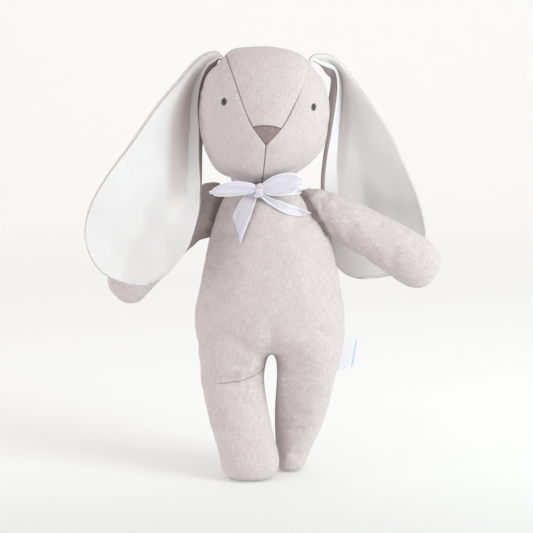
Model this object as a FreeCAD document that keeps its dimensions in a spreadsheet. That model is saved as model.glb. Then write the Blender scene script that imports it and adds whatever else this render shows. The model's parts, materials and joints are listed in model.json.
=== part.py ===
import FreeCAD, Part
import math
import os

# A stuffed linen rabbit. X points to the rabbit's own left, -Y the way it faces, +Z up.
# The origin is on the floor, under the middle of the rabbit. All sizes are in millimetres.

Vector = FreeCAD.Vector
Rotation = FreeCAD.Rotation
Placement = FreeCAD.Placement

ACROSS = Vector(1, 0, 0)
DEEP = Vector(0, 1, 0)
UP = Vector(0, 0, 1)

# Driving sizes: alias, value, what it is.
SIZES = [
    ("cloth", 1.2, "thickness of a sewn cloth panel with its allowance"),
    ("slack", 0.2, "gap between cloth and filling"),
    ("joint_gap", 0.7, "gap between two bodies that move"),
    ("cutter", 900, "side of a cutting block"),
    ("head_half_width", 52.8, "head, side to side"),
    ("head_half_depth", 47.0, "head, front to back"),
    ("head_half_height", 55.0, "head, chin to crown"),
    ("head_squareness", 2.5, "power of the head's outline; 2 is an ellipse"),
    ("head_side", 0.8, "head centre from the middle"),
    ("head_level", 294.8, "head centre above the floor"),
    ("head_tilt", 3.5, "degrees that the head leans to its left"),
    ("head_turn", 2.8, "degrees that the face turns to its left"),
    ("neck_level", 232.0, "neck pivot above the floor"),
    ("neck_radius", 16.0, "round neck that presses into the head"),
    ("eye_half_width", 2.0, "embroidered eye"),
    ("eye_half_height", 3.0, "embroidered eye"),
    ("eye_side", 36.0, "eye from the face's middle"),
    ("eye_level", 7.9, "eye above the head's centre"),
    ("eye_raise", 0.9, "how far the embroidery stands out"),
    ("brow_side", 22.5, "forehead seam beside the eyes, from the face's middle"),
    ("brow_level", 10.0, "that point above the head's centre"),
    ("crown_side", 35.0, "forehead seam at the ear's root, from the face's middle"),
    ("crown_level", 47.0, "that point above the head's centre"),
    ("nose_top", -9.5, "nose patch's upper edge from the head's centre"),
    ("seam_tip_level", -24.0, "where the two forehead seams meet"),
    ("ear_cloth", 1.2, "thickness of each ear layer"),
    ("ear_rim", 1.6, "rim of the outer cloth round the lining"),
    ("ear_lean", 10.0, "degrees that an ear's plane leans"),
    ("ear_front", 2.0, "ear's near face from the middle at its root"),
    ("ear_root_level", 343.0, "ear pivot above the floor"),
    ("ear_root_left", 40.0, "left ear pivot from the middle"),
    ("ear_root_right", -37.5, "right ear pivot from the middle"),
    ("arm_root_radius", 18.5, "round end of an arm at the shoulder"),
    ("arm_root_half_depth", 16.8, "round end of an arm, front to back"),
    ("arm_root_edge", 9.0, "rounding of that end"),
    ("arm_level", 213.5, "shoulder pivot above the floor"),
    ("arm_left_side", 54.0, "left shoulder pivot from the middle"),
    ("arm_right_side", -50.0, "right shoulder pivot from the middle"),
    ("arm_stagger", 5.0, "left arm forward and right arm back"),
    ("arm_left_drop", 28.0, "degrees below level"),
    ("arm_right_drop", 40.0, "degrees below level"),
    ("leg_root_radius", 25.4, "round end of a leg at the hip"),
    ("leg_root_half_width", 28.4, "round end of a leg, side to side"),
    ("leg_root_edge", 19.0, "rounding of that end"),
    ("hip_level", 79.0, "hip pivot above the floor"),
    ("leg_left_side", 35.6, "left hip's middle"),
    ("leg_right_side", -24.4, "right hip's middle"),
    ("label_width", 12.5, "woven label, sideways"),
    ("label_height", 25.0, "woven label, along the seam"),
    ("label_thickness", 0.8, "woven label, folded double"),
    ("label_bottom", 85.5, "label's lower edge above the floor"),
    ("label_side", 64.9, "label's seam edge from the middle"),
    ("band_half_width", 31.8, "neck ribbon, outside"),
    ("band_half_depth", 28.8, "neck ribbon, outside"),
    ("band_thickness", 1.0, "neck ribbon"),
    ("band_bottom", 230.4, "neck ribbon's lower edge"),
    ("band_height", 7.0, "neck ribbon as gathered"),
    ("bow_front", -32.6, "knot's centre from the middle"),
    ("bow_side", -2.2, "knot's centre from the middle"),
    ("bow_level", 233.4, "knot's centre above the floor"),
    ("ribbon_thickness", 1.0, "ribbon tail"),
    ("tail_front", -35.2, "right tail's front face from the middle"),
]

# Sections of the stuffed forms: name, level, half width, half depth, side, front to back.
# An arm's level is the distance from its shoulder pivot.
TORSO = [
    ("seat", 105.2, 53.0, 26.0, 5.9, 0),
    ("seat_edge", 109.0, 58.4, 31.5, 5.8, 0),
    ("hip", 118.0, 60.3, 35.0, 5.4, 0),
    ("belly", 134.0, 60.0, 36.5, 5.2, 0),
    ("waist", 156.0, 56.2, 36.0, 5.4, 0),
    ("ribs", 178.0, 52.2, 34.5, 4.5, 0),
    ("chest", 198.0, 46.6, 32.5, 3.4, 0),
    ("armpit", 213.0, 39.6, 30.8, 1.6, 0),
    ("shoulder", 225.5, 34.4, 28.6, 0, 0),
    ("collar", 231.5, 29.8, 26.4, 0, 0),
    ("neck", 236.0, 24.0, 22.0, 0, 0),
]
ARM = [
    ("shoulder", 0.0, 12.8, 12.6, 0, 0),
    ("upper", 28.0, 16.0, 15.6, 0, 0),
    ("wrist", 56.0, 18.8, 16.6, 0, 0),
    ("palm", 74.0, 18.8, 15.8, 0, 0),
    ("fingers", 86.0, 15.6, 12.6, 0, 0),
    ("end", 95.5, 7.5, 6.0, 0, 0),
]
LEG_LEFT = [
    ("sole", 0.0, 10.5, 13.0, 23.4, 9.0),
    ("sole_edge", 3.0, 12.2, 16.4, 23.4, 9.0),
    ("heel", 10.0, 13.2, 18.8, 23.6, 8.6),
    ("ankle", 20.0, 15.6, 20.4, 25.4, 7.6),
    ("shin", 34.0, 19.8, 21.8, 28.2, 5.4),
    ("knee", 54.0, 23.9, 23.9, 30.1, 2.6),
    ("thigh", 79.0, 25.2, 25.3, 33.8, 0),
]
LEG_RIGHT = [
    ("sole", 0.0, 14.0, 14.5, -14.0, -18.0),
    ("sole_edge", 3.0, 19.0, 19.5, -14.0, -18.0),
    ("heel", 10.0, 22.0, 22.3, -14.0, -17.4),
    ("ankle", 18.0, 22.7, 23.0, -14.6, -16.2),
    ("shin", 36.0, 23.3, 23.5, -17.2, -12.0),
    ("knee", 54.0, 24.2, 24.3, -20.0, -7.2),
    ("thigh", 79.0, 25.2, 25.3, -25.2, 0),
]
# Where the head's round sections lie, as shares of its half height.
HEAD_SHARES = [-0.93, -0.82, -0.62, -0.35, 0, 0.35, 0.62, 0.82, 0.93, 0.985]

# Ear outlines, as seen from the front: from the root down the outer edge and back up.
EAR_LEFT_OUTLINE = [
    (41, 345.5), (55, 343), (70, 328), (97, 288), (120, 244), (131, 203), (119, 174),
    (90, 162), (65, 170), (55.5, 190), (52, 225), (56, 265), (61.5, 297), (60.5, 318), (49, 334),
]
EAR_RIGHT_OUTLINE = [
    (-38, 347.5), (-50, 343), (-64, 329), (-86, 303), (-120, 255), (-142, 208), (-136, 174),
    (-104, 157.5), (-76, 169), (-57, 198), (-53.5, 232), (-56, 266), (-58.5, 297), (-55.5, 321),
    (-46.5, 338),
]
# The bow's knot and loops: name, centre from the knot, half length, half thickness, half height,
# degrees that it points up.
BOW = [
    ("ribbon_knot", Vector(), 4.6, 3.4, 5.8, 0),
    ("ribbon_loop_left", Vector(17.8, 1.2, 4.6), 12.8, 2.2, 7.8, 9),
    ("ribbon_loop_right", Vector(-23.6, 1.6, -1.2), 18.4, 2.2, 6.6, 5),
]
# Ribbon tails, as seen from the front, from the knot to the cut end.
TAIL_RIGHT_OUTLINE = [(-7.6, 228), (-16, 230), (-25, 212), (-19.4, 189.5), (-10.5, 211)]
TAIL_LEFT_LENGTH = 38.0
TAIL_LEFT_FALL = 14.0
TAIL_LEFT_WIDTH = 8.0
TAIL_LEFT_START = Vector(2.6, -35.6, 230.5)
TAIL_LEFT_SWEEP = 24.5

doc = FreeCAD.newDocument("stuffed_rabbit")
sheet = doc.addObject("Spreadsheet::Sheet", "Sizes")
nodes = []


def write_sheet():
    """Fills the spreadsheet: one row for each size, with its alias."""
    rows = list(SIZES)
    for form, sections in (("torso", TORSO), ("arm", ARM), ("leg_left", LEG_LEFT), ("leg_right", LEG_RIGHT)):
        for name, level, half_width, half_depth, side, forward in sections:
            key = f"{form}_{name}"
            rows.append((f"{key}_level", level, "section's level"))
            rows.append((f"{key}_half_width", half_width, "section's half width"))
            rows.append((f"{key}_half_depth", half_depth, "section's half depth"))
            rows.append((f"{key}_side", side, "section's centre, sideways"))
            rows.append((f"{key}_forward", forward, "section's centre, front to back"))
    for number, (alias, value, note) in enumerate(rows, 1):
        sheet.set(f"A{number}", note)
        sheet.set(f"B{number}", str(value))
        sheet.setAlias(f"B{number}", alias)
    doc.recompute()


def size(alias):
    return float(sheet.get(alias))


def make(kind, name, placement=None, **bindings):
    """A document object whose properties follow expressions over the sheet."""
    thing = doc.addObject(kind, name)
    for prop, expression in bindings.items():
        thing.setExpression(prop, expression)
    if placement is not None:
        thing.Placement = placement
    return thing


def boolean(kind, name, base, tool):
    thing = doc.addObject(kind, name)
    thing.Base = base
    thing.Tool = tool
    return thing


def section(name, half_width, half_depth, side, forward, level, deep):
    """One ellipse of a stuffed form. A deep one is longer from front to back."""
    thing = doc.addObject("Part::Ellipse", name)
    major, minor = (half_depth, half_width) if deep else (half_width, half_depth)
    thing.setExpression("MajorRadius", major)
    thing.setExpression("MinorRadius", minor)
    if deep:
        thing.Placement = Placement(Vector(), Rotation(UP, 90))
    thing.setExpression("Placement.Base.x", side)
    thing.setExpression("Placement.Base.y", forward)
    thing.setExpression("Placement.Base.z", level)
    return thing


def loft(name, sections):
    thing = doc.addObject("Part::Loft", name)
    thing.Sections = sections
    thing.Solid = True
    thing.Ruled = False
    return thing


def sewn_loft(name, form, sections, inset, deep=False):
    """A loft through a form's sections, smaller by inset all round and at both ends."""
    rings = []
    for place, row in enumerate(sections):
        key = f"Sizes.{form}_{row[0]}"
        level = f"{key}_level"
        if place == 0 and form != "arm":
            level += f" + ({inset})"
        if place == len(sections) - 1 and form != "leg_left" and form != "leg_right":
            level += f" - ({inset})"
        rings.append(
            section(
                f"{name}_{row[0]}",
                f"{key}_half_width - ({inset})",
                f"{key}_half_depth - ({inset})",
                f"{key}_side",
                f"{key}_forward",
                level,
                deep,
            )
        )
    return loft(f"{name}_loft", rings)


def head_loft(name, inset):
    """The head: round sections whose width follows a squarish outline."""
    rings = []
    for place, share in enumerate(HEAD_SHARES):
        power = "Sizes.head_squareness"
        narrowing = f"(1 - {abs(share)}^{power})^(1 / {power})"
        rings.append(
            section(
                f"{name}_ring{place}",
                f"(Sizes.head_half_width - ({inset})) * {narrowing}",
                f"(Sizes.head_half_depth - ({inset})) * {narrowing}",
                "0",
                "0",
                f"(Sizes.head_half_height - ({inset})) * {share}",
                False,
            )
        )
    return loft(f"{name}_loft", rings)


def round_end(name, radius, half_length, edge, inset, placement):
    """A stuffed limb's end: a drum with rounded edges, centred on its pivot, along local Z."""
    drum = doc.addObject("Part::Cylinder", f"{name}_drum")
    drum.setExpression("Radius", f"Sizes.{radius} - ({inset})")
    drum.setExpression("Height", f"2 * (Sizes.{half_length} - ({inset}))")
    drum.setExpression("Placement.Base.z", f"({inset}) - Sizes.{half_length}")
    doc.recompute()
    rounded = doc.addObject("Part::Fillet", f"{name}_rounded")
    rounded.Base = drum
    rims = [number for number, edge_shape in enumerate(drum.Shape.Edges, 1) if edge_shape.isClosed()]
    rounded.Edges = [(number, size(edge), size(edge)) for number in rims]
    rounded.Placement = placement
    return rounded


def block(name, placement, *, front=False, back=False, left=False, right=False, above=False, below=False):
    """A cutting block that fills one side, or one corner, of its own origin."""
    thing = doc.addObject("Part::Box", name)
    big = size("cutter")
    low = [-big / 2, -big / 2, -big / 2]
    if back:
        low[1] = 0
    if front:
        low[1] = -big
    if left:
        low[0] = 0
    if right:
        low[0] = -big
    if above:
        low[2] = 0
    if below:
        low[2] = -big
    for prop in ("Length", "Width", "Height"):
        thing.setExpression(prop, "Sizes.cutter")
    thing.Placement = placement.multiply(Placement(Vector(*low), Rotation()))
    return thing


def keep(label, thing, placement=None):
    """Marks a finished sub-part: its label names its node."""
    thing.Label = label
    if placement is not None:
        thing.Placement = placement
    nodes.append(thing)
    return thing


CLOTH = "Sizes.cloth"
FILLING = "Sizes.cloth + Sizes.slack"
NO_INSET = "0"
HERE = Placement()


def shell_and_filling(name, form):
    """form(name, inset) makes a solid; returns its cloth shell and its filling."""
    outside = form(f"{name}_outside", NO_INSET)
    inside = form(f"{name}_inside", CLOTH)
    shell = boolean("Part::Cut", f"{name}_shell", outside, inside)
    filling = form(f"{name}_filling", FILLING)
    return outside, shell, filling


# ---------------------------------------------------------------- head


def head_placement():
    lean = Rotation(DEEP, size("head_tilt"))
    turn = Rotation(UP, size("head_turn"))
    return Placement(Vector(size("head_side"), 0, size("head_level")), lean.multiply(turn))


def head_form(name, inset):
    """The head with the hollow that the neck presses into."""
    pivot = head_placement().inverse().multVec(Vector(0, 0, size("neck_level")))
    hollow = make(
        "Part::Sphere",
        f"{name}_hollow",
        Placement(pivot, Rotation()),
        Radius=f"Sizes.neck_radius + Sizes.joint_gap + ({inset})",
    )
    return boolean("Part::Cut", name, head_loft(name, inset), hollow)


def head_surface(side, level):
    """How far forward the head's surface is at a point of the face."""
    power = size("head_squareness")
    narrowing = (1 - abs(level / size("head_half_height")) ** power) ** (1 / power)
    across = side / (size("head_half_width") * narrowing)
    return -size("head_half_depth") * narrowing * math.sqrt(max(0, 1 - across * across))


def forehead_seam_block(name, side):
    """A block inside one forehead seam: its face holds the seam's tip, brow and crown."""
    brow_level = size("brow_level")
    brow = Vector(side * size("brow_side"), head_surface(size("brow_side"), brow_level), brow_level)
    tip = Vector(0, head_surface(0, size("seam_tip_level")), size("seam_tip_level"))
    crown = Vector(side * size("crown_side"), 0, size("crown_level"))
    inward = (brow - tip).cross(crown - tip)
    if inward.x * side > 0:
        inward = inward * -1
    return block(name, Placement(tip, Rotation(UP, inward)), above=True)


def build_head():
    place = head_placement()
    outside, shell, filling = shell_and_filling("head", head_form)
    front = block("face_half", HERE, front=True)
    back = block("nape_half", HERE, back=True)
    wedge = boolean(
        "Part::Common",
        "forehead_wedge",
        forehead_seam_block("forehead_inside_left", 1),
        forehead_seam_block("forehead_inside_right", -1),
    )
    face = boolean("Part::Common", "face", shell, front)
    gusset = boolean("Part::Common", "gusset", face, wedge)
    cheeks = boolean("Part::Cut", "cheeks", face, wedge)
    nape = boolean("Part::Common", "nape", shell, back)
    level = Placement(Vector(0, 0, size("nose_top")), Rotation())
    over_nose = block("over_nose", level, above=True)
    under_brow = block("under_brow", level, below=True)
    left = block("head_left_half", HERE, left=True)
    right = block("head_right_half", HERE, right=True)
    keep("forehead_gusset", boolean("Part::Common", "forehead_gusset", gusset, over_nose), place)
    keep("nose_patch", boolean("Part::Common", "nose_patch", gusset, under_brow), place)
    keep("cheek_left", boolean("Part::Common", "cheek_left", cheeks, left), place)
    keep("cheek_right", boolean("Part::Common", "cheek_right", cheeks, right), place)
    keep("head_back_left", boolean("Part::Common", "head_back_left", nape, left), place)
    keep("head_back_right", boolean("Part::Common", "head_back_right", nape, right), place)
    keep("head_stuffing", filling, place)
    for name, side in (("eye_left", 1), ("eye_right", -1)):
        forward = head_surface(size("eye_side"), size("eye_level"))
        spot = Vector(side * size("eye_side"), forward, size("eye_level"))
        flatness = size("head_half_width") / size("head_half_depth")
        facing = math.degrees(math.atan2(spot.x, -spot.y * flatness**2))
        pad = make(
            "Part::Ellipsoid",
            f"{name}_pad",
            Placement(spot, Rotation(UP, facing)),
            Radius1="Sizes.eye_half_height",
            Radius2="Sizes.eye_half_width",
            Radius3="Sizes.eye_raise",
        )
        pad.Angle1 = -90
        pad.Angle2 = 90
        keep(name, boolean("Part::Cut", name, pad, outside), place)


# ---------------------------------------------------------------- ears


def closed_curve(points, height):
    """A smooth closed outline through points, standing in the plane y = height."""
    curve = Part.BSplineCurve()
    curve.interpolate(Points=[Vector(x, height, z) for x, z in points], PeriodicFlag=True)
    return Part.Face(Part.Wire(curve.toShape()))


def build_ear(name, outline, root_side, forward):
    """An ear: a linen layer and a lining layer, cut flat, that lean in one plane from the root."""
    root = Vector(root_side, 0, size("ear_root_level"))
    flat = [(x - root.x, z - root.z) for x, z in outline]
    cloth = size("ear_cloth")
    lean = Rotation(ACROSS, -forward * size("ear_lean"))
    # The lining faces forward on both ears; the near face is the one towards the arm.
    near = size("ear_front")
    lining_face = near if forward < 0 else -near - 2 * cloth
    place = Placement(root, lean)
    outer = doc.addObject("Part::Feature", f"{name}_outer")
    outer.Shape = closed_curve(flat, lining_face + cloth).extrude(Vector(0, cloth, 0))
    keep(f"{name}_outer", outer, place)
    middle = Vector(sum(x for x, z in flat) / len(flat), 0, sum(z for x, z in flat) / len(flat))
    inner = []
    for x, z in flat:
        out = Vector(x, 0, z) - middle
        inner.append((x - size("ear_rim") * out.x / out.Length, z - size("ear_rim") * out.z / out.Length))
    lining = doc.addObject("Part::Feature", f"{name}_lining")
    lining.Shape = closed_curve(inner, lining_face).extrude(Vector(0, cloth, 0))
    keep(f"{name}_lining", lining, place)


# ---------------------------------------------------------------- torso, ribbon and label


def torso_form(name, inset):
    """The torso with its round neck, hollowed at both shoulders for the arms' round ends."""
    body = sewn_loft(name, "torso", TORSO, inset)
    neck = make(
        "Part::Sphere",
        f"{name}_neck_ball",
        Placement(Vector(0, 0, size("neck_level")), Rotation()),
        Radius=f"Sizes.neck_radius - ({inset})",
    )
    body = boolean("Part::Fuse", f"{name}_with_neck", body, neck)
    for arm in ("left", "right"):
        hollow = make(
            "Part::Cylinder",
            f"{name}_shoulder_{arm}",
            Radius=f"Sizes.arm_root_radius + Sizes.joint_gap + ({inset})",
            Height="Sizes.cutter",
        )
        spot = Vector(size(f"arm_{arm}_side"), size("cutter") / 2, size("arm_level"))
        hollow.Placement = Placement(spot, Rotation(ACROSS, 90))
        body = boolean("Part::Cut", f"{name}_{arm}", body, hollow)
    return body


def build_torso():
    outside, shell, filling = shell_and_filling("torso", torso_form)
    middle = Placement(Vector(size("torso_hip_side"), 0, 0), Rotation())
    front = block("chest_half", HERE, front=True)
    back = block("back_half", HERE, back=True)
    rear = boolean("Part::Common", "rear", shell, back)
    keep("torso_front", boolean("Part::Common", "torso_front", shell, front), HERE)
    left = block("back_left_half", middle, left=True)
    right = block("back_right_half", middle, right=True)
    keep("torso_back_left", boolean("Part::Common", "torso_back_left", rear, left), HERE)
    keep("torso_back_right", boolean("Part::Common", "torso_back_right", rear, right), HERE)
    keep("torso_stuffing", filling, HERE)
    tab = make(
        "Part::Box",
        "label_tab",
        Length="Sizes.label_width",
        Width="Sizes.label_thickness",
        Height="Sizes.label_height",
    )
    tab.setExpression("Placement.Base.x", "Sizes.label_side")
    tab.setExpression("Placement.Base.y", "-Sizes.label_thickness / 2")
    tab.setExpression("Placement.Base.z", "Sizes.label_bottom")
    keep("side_label", boolean("Part::Cut", "side_label", tab, outside), HERE)


def build_neck_band():
    solids = []
    for name, inset in (("band_outside", NO_INSET), ("band_inside", "Sizes.band_thickness")):
        ring = section(
            f"{name}_ring",
            f"Sizes.band_half_width - ({inset})",
            f"Sizes.band_half_depth - ({inset})",
            "0",
            "0",
            "Sizes.band_bottom",
            False,
        )
        wall = doc.addObject("Part::Extrusion", name)
        wall.Base = ring
        wall.DirMode = "Custom"
        wall.Dir = UP
        wall.setExpression("LengthFwd", "Sizes.band_height")
        wall.Solid = True
        solids.append(wall)
    keep("ribbon_neck_band", boolean("Part::Cut", "ribbon_neck_band", *solids), HERE)


def build_bow():
    knot = Vector(size("bow_side"), size("bow_front"), size("bow_level"))
    for label, offset, half_length, half_thickness, half_height, rise in BOW:
        leaf = make(
            "Part::Ellipsoid",
            label,
            Placement(knot + offset, Rotation(DEEP, -rise)),
            Radius1=str(half_height),
            Radius2=str(half_length),
            Radius3=str(half_thickness),
        )
        leaf.Angle1 = -90
        leaf.Angle2 = 90
        keep(label, leaf)
    cloth = size("ribbon_thickness")
    tail = doc.addObject("Part::Feature", "ribbon_tail_right")
    corners = [Vector(x, size("tail_front"), z) for x, z in TAIL_RIGHT_OUTLINE]
    tail.Shape = Part.Face(Part.makePolygon(corners + corners[:1])).extrude(Vector(0, cloth, 0))
    keep("ribbon_tail_right", tail, HERE)
    tail = doc.addObject("Part::Feature", "ribbon_tail_left")
    corners = [
        Vector(0, 0, 0),
        Vector(TAIL_LEFT_LENGTH, 0, -TAIL_LEFT_FALL),
        Vector(TAIL_LEFT_LENGTH - TAIL_LEFT_WIDTH / 2, 0, -TAIL_LEFT_FALL - TAIL_LEFT_WIDTH / 2),
        Vector(0, 0, -TAIL_LEFT_WIDTH / 2),
    ]
    tail.Shape = Part.Face(Part.makePolygon(corners + corners[:1])).extrude(Vector(0, cloth, 0))
    keep("ribbon_tail_left", tail, Placement(TAIL_LEFT_START, Rotation(UP, TAIL_LEFT_SWEEP)))


# ---------------------------------------------------------------- limbs


def split_limb(name, form, place, seam):
    """A limb's two cloth panels, joined along its side seams, and its filling."""
    _, shell, filling = shell_and_filling(name, form)
    front = block(f"{name}_front_half", seam, front=True)
    back = block(f"{name}_back_half", seam, back=True)
    keep(f"{name}_front", boolean("Part::Common", f"{name}_front", shell, front), place)
    keep(f"{name}_back", boolean("Part::Common", f"{name}_back", shell, back), place)
    keep(f"{name}_stuffing", filling, place)


def build_arm(side, turn, stagger):
    def arm_form(name, inset):
        end = round_end(
            name,
            "arm_root_radius",
            "arm_root_half_depth",
            "arm_root_edge",
            inset,
            Placement(Vector(), Rotation(ACROSS, 90)),
        )
        return boolean("Part::Fuse", name, sewn_loft(name, "arm", ARM, inset), end)

    shoulder = Vector(size(f"arm_{side}_side"), stagger, size("arm_level"))
    split_limb(f"arm_{side}", arm_form, Placement(shoulder, Rotation(DEEP, turn)), HERE)


def build_leg(side, sections):
    def leg_form(name, inset):
        hip = Vector(size(f"leg_{side}_side"), 0, size("hip_level"))
        end = round_end(
            name,
            "leg_root_radius",
            "leg_root_half_width",
            "leg_root_edge",
            inset,
            Placement(hip, Rotation(DEEP, 90)),
        )
        return boolean("Part::Fuse", name, sewn_loft(name, f"leg_{side}", sections, inset, True), end)

    # The side seams lie in the plane of the hip axis and the middle of the sole.
    sole = size(f"leg_{side}_sole_forward")
    slant = math.degrees(math.atan2(sole, size("hip_level")))
    seam = Placement(Vector(0, 0, size("hip_level")), Rotation(ACROSS, slant))
    split_limb(f"leg_{side}", leg_form, HERE, seam)


def check_objects():
    """Stops on any object that failed, and on any sub-part that isn't a valid solid."""
    for thing in doc.Objects:
        if "Invalid" in thing.State or "Error" in thing.State:
            raise RuntimeError(f"{thing.Name} failed: {thing.State}")
    for thing in nodes:
        shape = thing.Shape
        if shape.isNull() or not shape.isValid() or shape.Volume <= 0:
            raise RuntimeError(f"{thing.Label} is not a valid solid")
        print(f"{thing.Label}: {len(shape.Solids)} solid, {shape.Volume:.0f} mm3")


write_sheet()
build_head()
build_ear("ear_left", EAR_LEFT_OUTLINE, size("ear_root_left"), -1)
build_ear("ear_right", EAR_RIGHT_OUTLINE, size("ear_root_right"), 1)
build_torso()
build_neck_band()
build_bow()
build_arm("left", 90 + size("arm_left_drop"), -size("arm_stagger"))
build_arm("right", -90 - size("arm_right_drop"), size("arm_stagger"))
build_leg("left", LEG_LEFT)
build_leg("right", LEG_RIGHT)
doc.recompute()
check_objects()
os.makedirs("parts", exist_ok=True)
for thing in nodes:
    thing.Shape.exportStep(f"parts/{thing.Label}.step")
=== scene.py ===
import json
import math

import bmesh
import bpy
import numpy as np
from mathutils import Matrix, Vector, noise
from mathutils.bvhtree import BVHTree


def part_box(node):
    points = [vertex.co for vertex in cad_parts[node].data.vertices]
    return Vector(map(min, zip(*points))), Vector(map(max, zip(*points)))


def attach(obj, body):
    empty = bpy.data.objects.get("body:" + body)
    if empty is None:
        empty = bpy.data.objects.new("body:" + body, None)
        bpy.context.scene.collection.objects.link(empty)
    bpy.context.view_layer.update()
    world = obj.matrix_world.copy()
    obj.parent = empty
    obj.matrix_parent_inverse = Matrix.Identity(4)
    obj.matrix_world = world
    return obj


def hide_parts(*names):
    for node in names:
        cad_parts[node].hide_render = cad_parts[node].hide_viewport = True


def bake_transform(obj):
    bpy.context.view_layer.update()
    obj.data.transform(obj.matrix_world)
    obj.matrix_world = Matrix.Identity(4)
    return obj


# The stuffed rabbit's looks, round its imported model. X points to the rabbit's own left, -Y the way
# it faces, +Z up. Blender works in metres. Sizes in the tables are millimetres, turned by MM.
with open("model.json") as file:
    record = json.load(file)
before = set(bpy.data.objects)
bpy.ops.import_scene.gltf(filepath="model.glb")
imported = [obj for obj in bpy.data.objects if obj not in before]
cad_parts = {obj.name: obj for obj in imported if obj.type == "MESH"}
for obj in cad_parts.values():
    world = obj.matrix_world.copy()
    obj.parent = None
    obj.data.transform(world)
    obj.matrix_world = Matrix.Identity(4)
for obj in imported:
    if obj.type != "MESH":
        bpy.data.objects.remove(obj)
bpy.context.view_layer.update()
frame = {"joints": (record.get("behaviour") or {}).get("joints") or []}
scene = bpy.context.scene

MM = 0.001
PIVOTS = {joint["name"]: Vector(joint["pos_m"]) for joint in frame["joints"]}


def node_box(*names):
    """The box round several nodes: lowest and highest corner."""
    corners = np.array([[tuple(corner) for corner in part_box(name)] for name in names])
    return corners[:, 0].min(axis=0), corners[:, 1].max(axis=0)


def add_object(name, data):
    thing = bpy.data.objects.new(name, data)
    scene.collection.objects.link(thing)
    return thing


# ---------------------------------------------------------------- camera

CAMERA_DISTANCE = 1.30
CAMERA_LENS = 108
CAMERA_RISE = math.radians(7)
LOOK_AT = Vector((0.002, 0, 0.1715))


def make_camera():
    data = bpy.data.cameras.new("camera")
    data.lens = CAMERA_LENS
    data.dof.use_dof = False
    camera = add_object("camera", data)
    back = Vector((0, -math.cos(CAMERA_RISE), math.sin(CAMERA_RISE)))
    camera.location = LOOK_AT + back * CAMERA_DISTANCE
    camera.rotation_euler = (-back).to_track_quat("-Z", "Y").to_euler()
    scene.camera = camera


make_camera()

# ---------------------------------------------------------------- materials


class Recipe:
    """A material's node tree, with short ways to add and join nodes."""

    def __init__(self, name):
        self.material = bpy.data.materials.new(name)
        self.material.use_nodes = True
        self.tree = self.material.node_tree
        self.shader = self.tree.nodes["Principled BSDF"]

    def set(self, **values):
        for name, value in values.items():
            self.shader.inputs[name.replace("_", " ")].default_value = value

    def node(self, kind, **settings):
        made = self.tree.nodes.new(kind)
        for name, value in settings.items():
            setattr(made, name, value)
        return made

    def feed(self, socket, value):
        """Joins a socket to an output, or sets it to a number or a colour."""
        if isinstance(value, bpy.types.NodeSocket):
            self.tree.links.new(value, socket)
        elif isinstance(value, tuple):
            socket.default_value = (*value, 1)
        else:
            socket.default_value = value

    def paint(self, colour):
        self.feed(self.shader.inputs["Base Color"], colour)

    def attribute(self, name, output):
        return self.node("ShaderNodeAttribute", attribute_name=name).outputs[output]

    def parts(self, vector):
        split = self.node("ShaderNodeSeparateXYZ")
        self.feed(split.inputs[0], vector)
        return split.outputs

    def grain(self, source, scale, detail, roughness=0.5):
        """Noise, with its blots stretched to a scale."""
        mapping = self.node("ShaderNodeMapping")
        mapping.inputs["Scale"].default_value = scale
        self.feed(mapping.inputs["Vector"], source)
        texture = self.node("ShaderNodeTexNoise")
        for name, value in (("Scale", 1.0), ("Detail", detail), ("Roughness", roughness)):
            texture.inputs[name].default_value = value
        self.feed(texture.inputs["Vector"], mapping.outputs["Vector"])
        return texture.outputs["Fac"]

    def maths(self, operation, first, second=0.0):
        made = self.node("ShaderNodeMath", operation=operation)
        self.feed(made.inputs[0], first)
        self.feed(made.inputs[1], second)
        return made.outputs[0]

    def ribs(self, part, pitch):
        """A wave along one coordinate."""
        return self.maths("SINE", self.maths("MULTIPLY", part, 2 * math.pi / pitch))

    def heaped(self, *layers):
        """The sum of some heights, each with its share."""
        total = 0.0
        for height, share in layers:
            total = self.maths("ADD", self.maths("MULTIPLY", height, share), total)
        return total

    def ramp(self, source, *stops):
        made = self.node("ShaderNodeValToRGB")
        elements = made.color_ramp.elements
        while len(elements) < len(stops):
            elements.new(0.5)
        for element, (place, colour) in zip(elements, stops):
            element.position = place
            element.color = (*colour, 1)
        self.feed(made.inputs["Fac"], source)
        return made.outputs["Color"]

    def mixed(self, share, first, second, blend="MIX"):
        made = self.node("ShaderNodeMix", data_type="RGBA", blend_type=blend)
        for place, value in ((0, share), (6, first), (7, second)):
            self.feed(made.inputs[place], value)
        return made.outputs[2]

    def layered(self, first, *others):
        """Colours multiplied together."""
        for other in others:
            first = self.mixed(1.0, first, other, "MULTIPLY")
        return first

    def bump(self, height, distance, strength):
        made = self.node("ShaderNodeBump")
        made.inputs["Distance"].default_value = distance
        made.inputs["Strength"].default_value = strength
        self.feed(made.inputs["Height"], height)
        self.feed(self.shader.inputs["Normal"], made.outputs["Normal"])


def linear(red, green, blue):
    """A display colour, 0 to 255, as linear light."""
    return tuple(((c / 255 + 0.055) / 1.055) ** 2.4 for c in (red, green, blue))


def shade(colour, factor):
    return tuple(min(1.0, c * factor) for c in colour)


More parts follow.
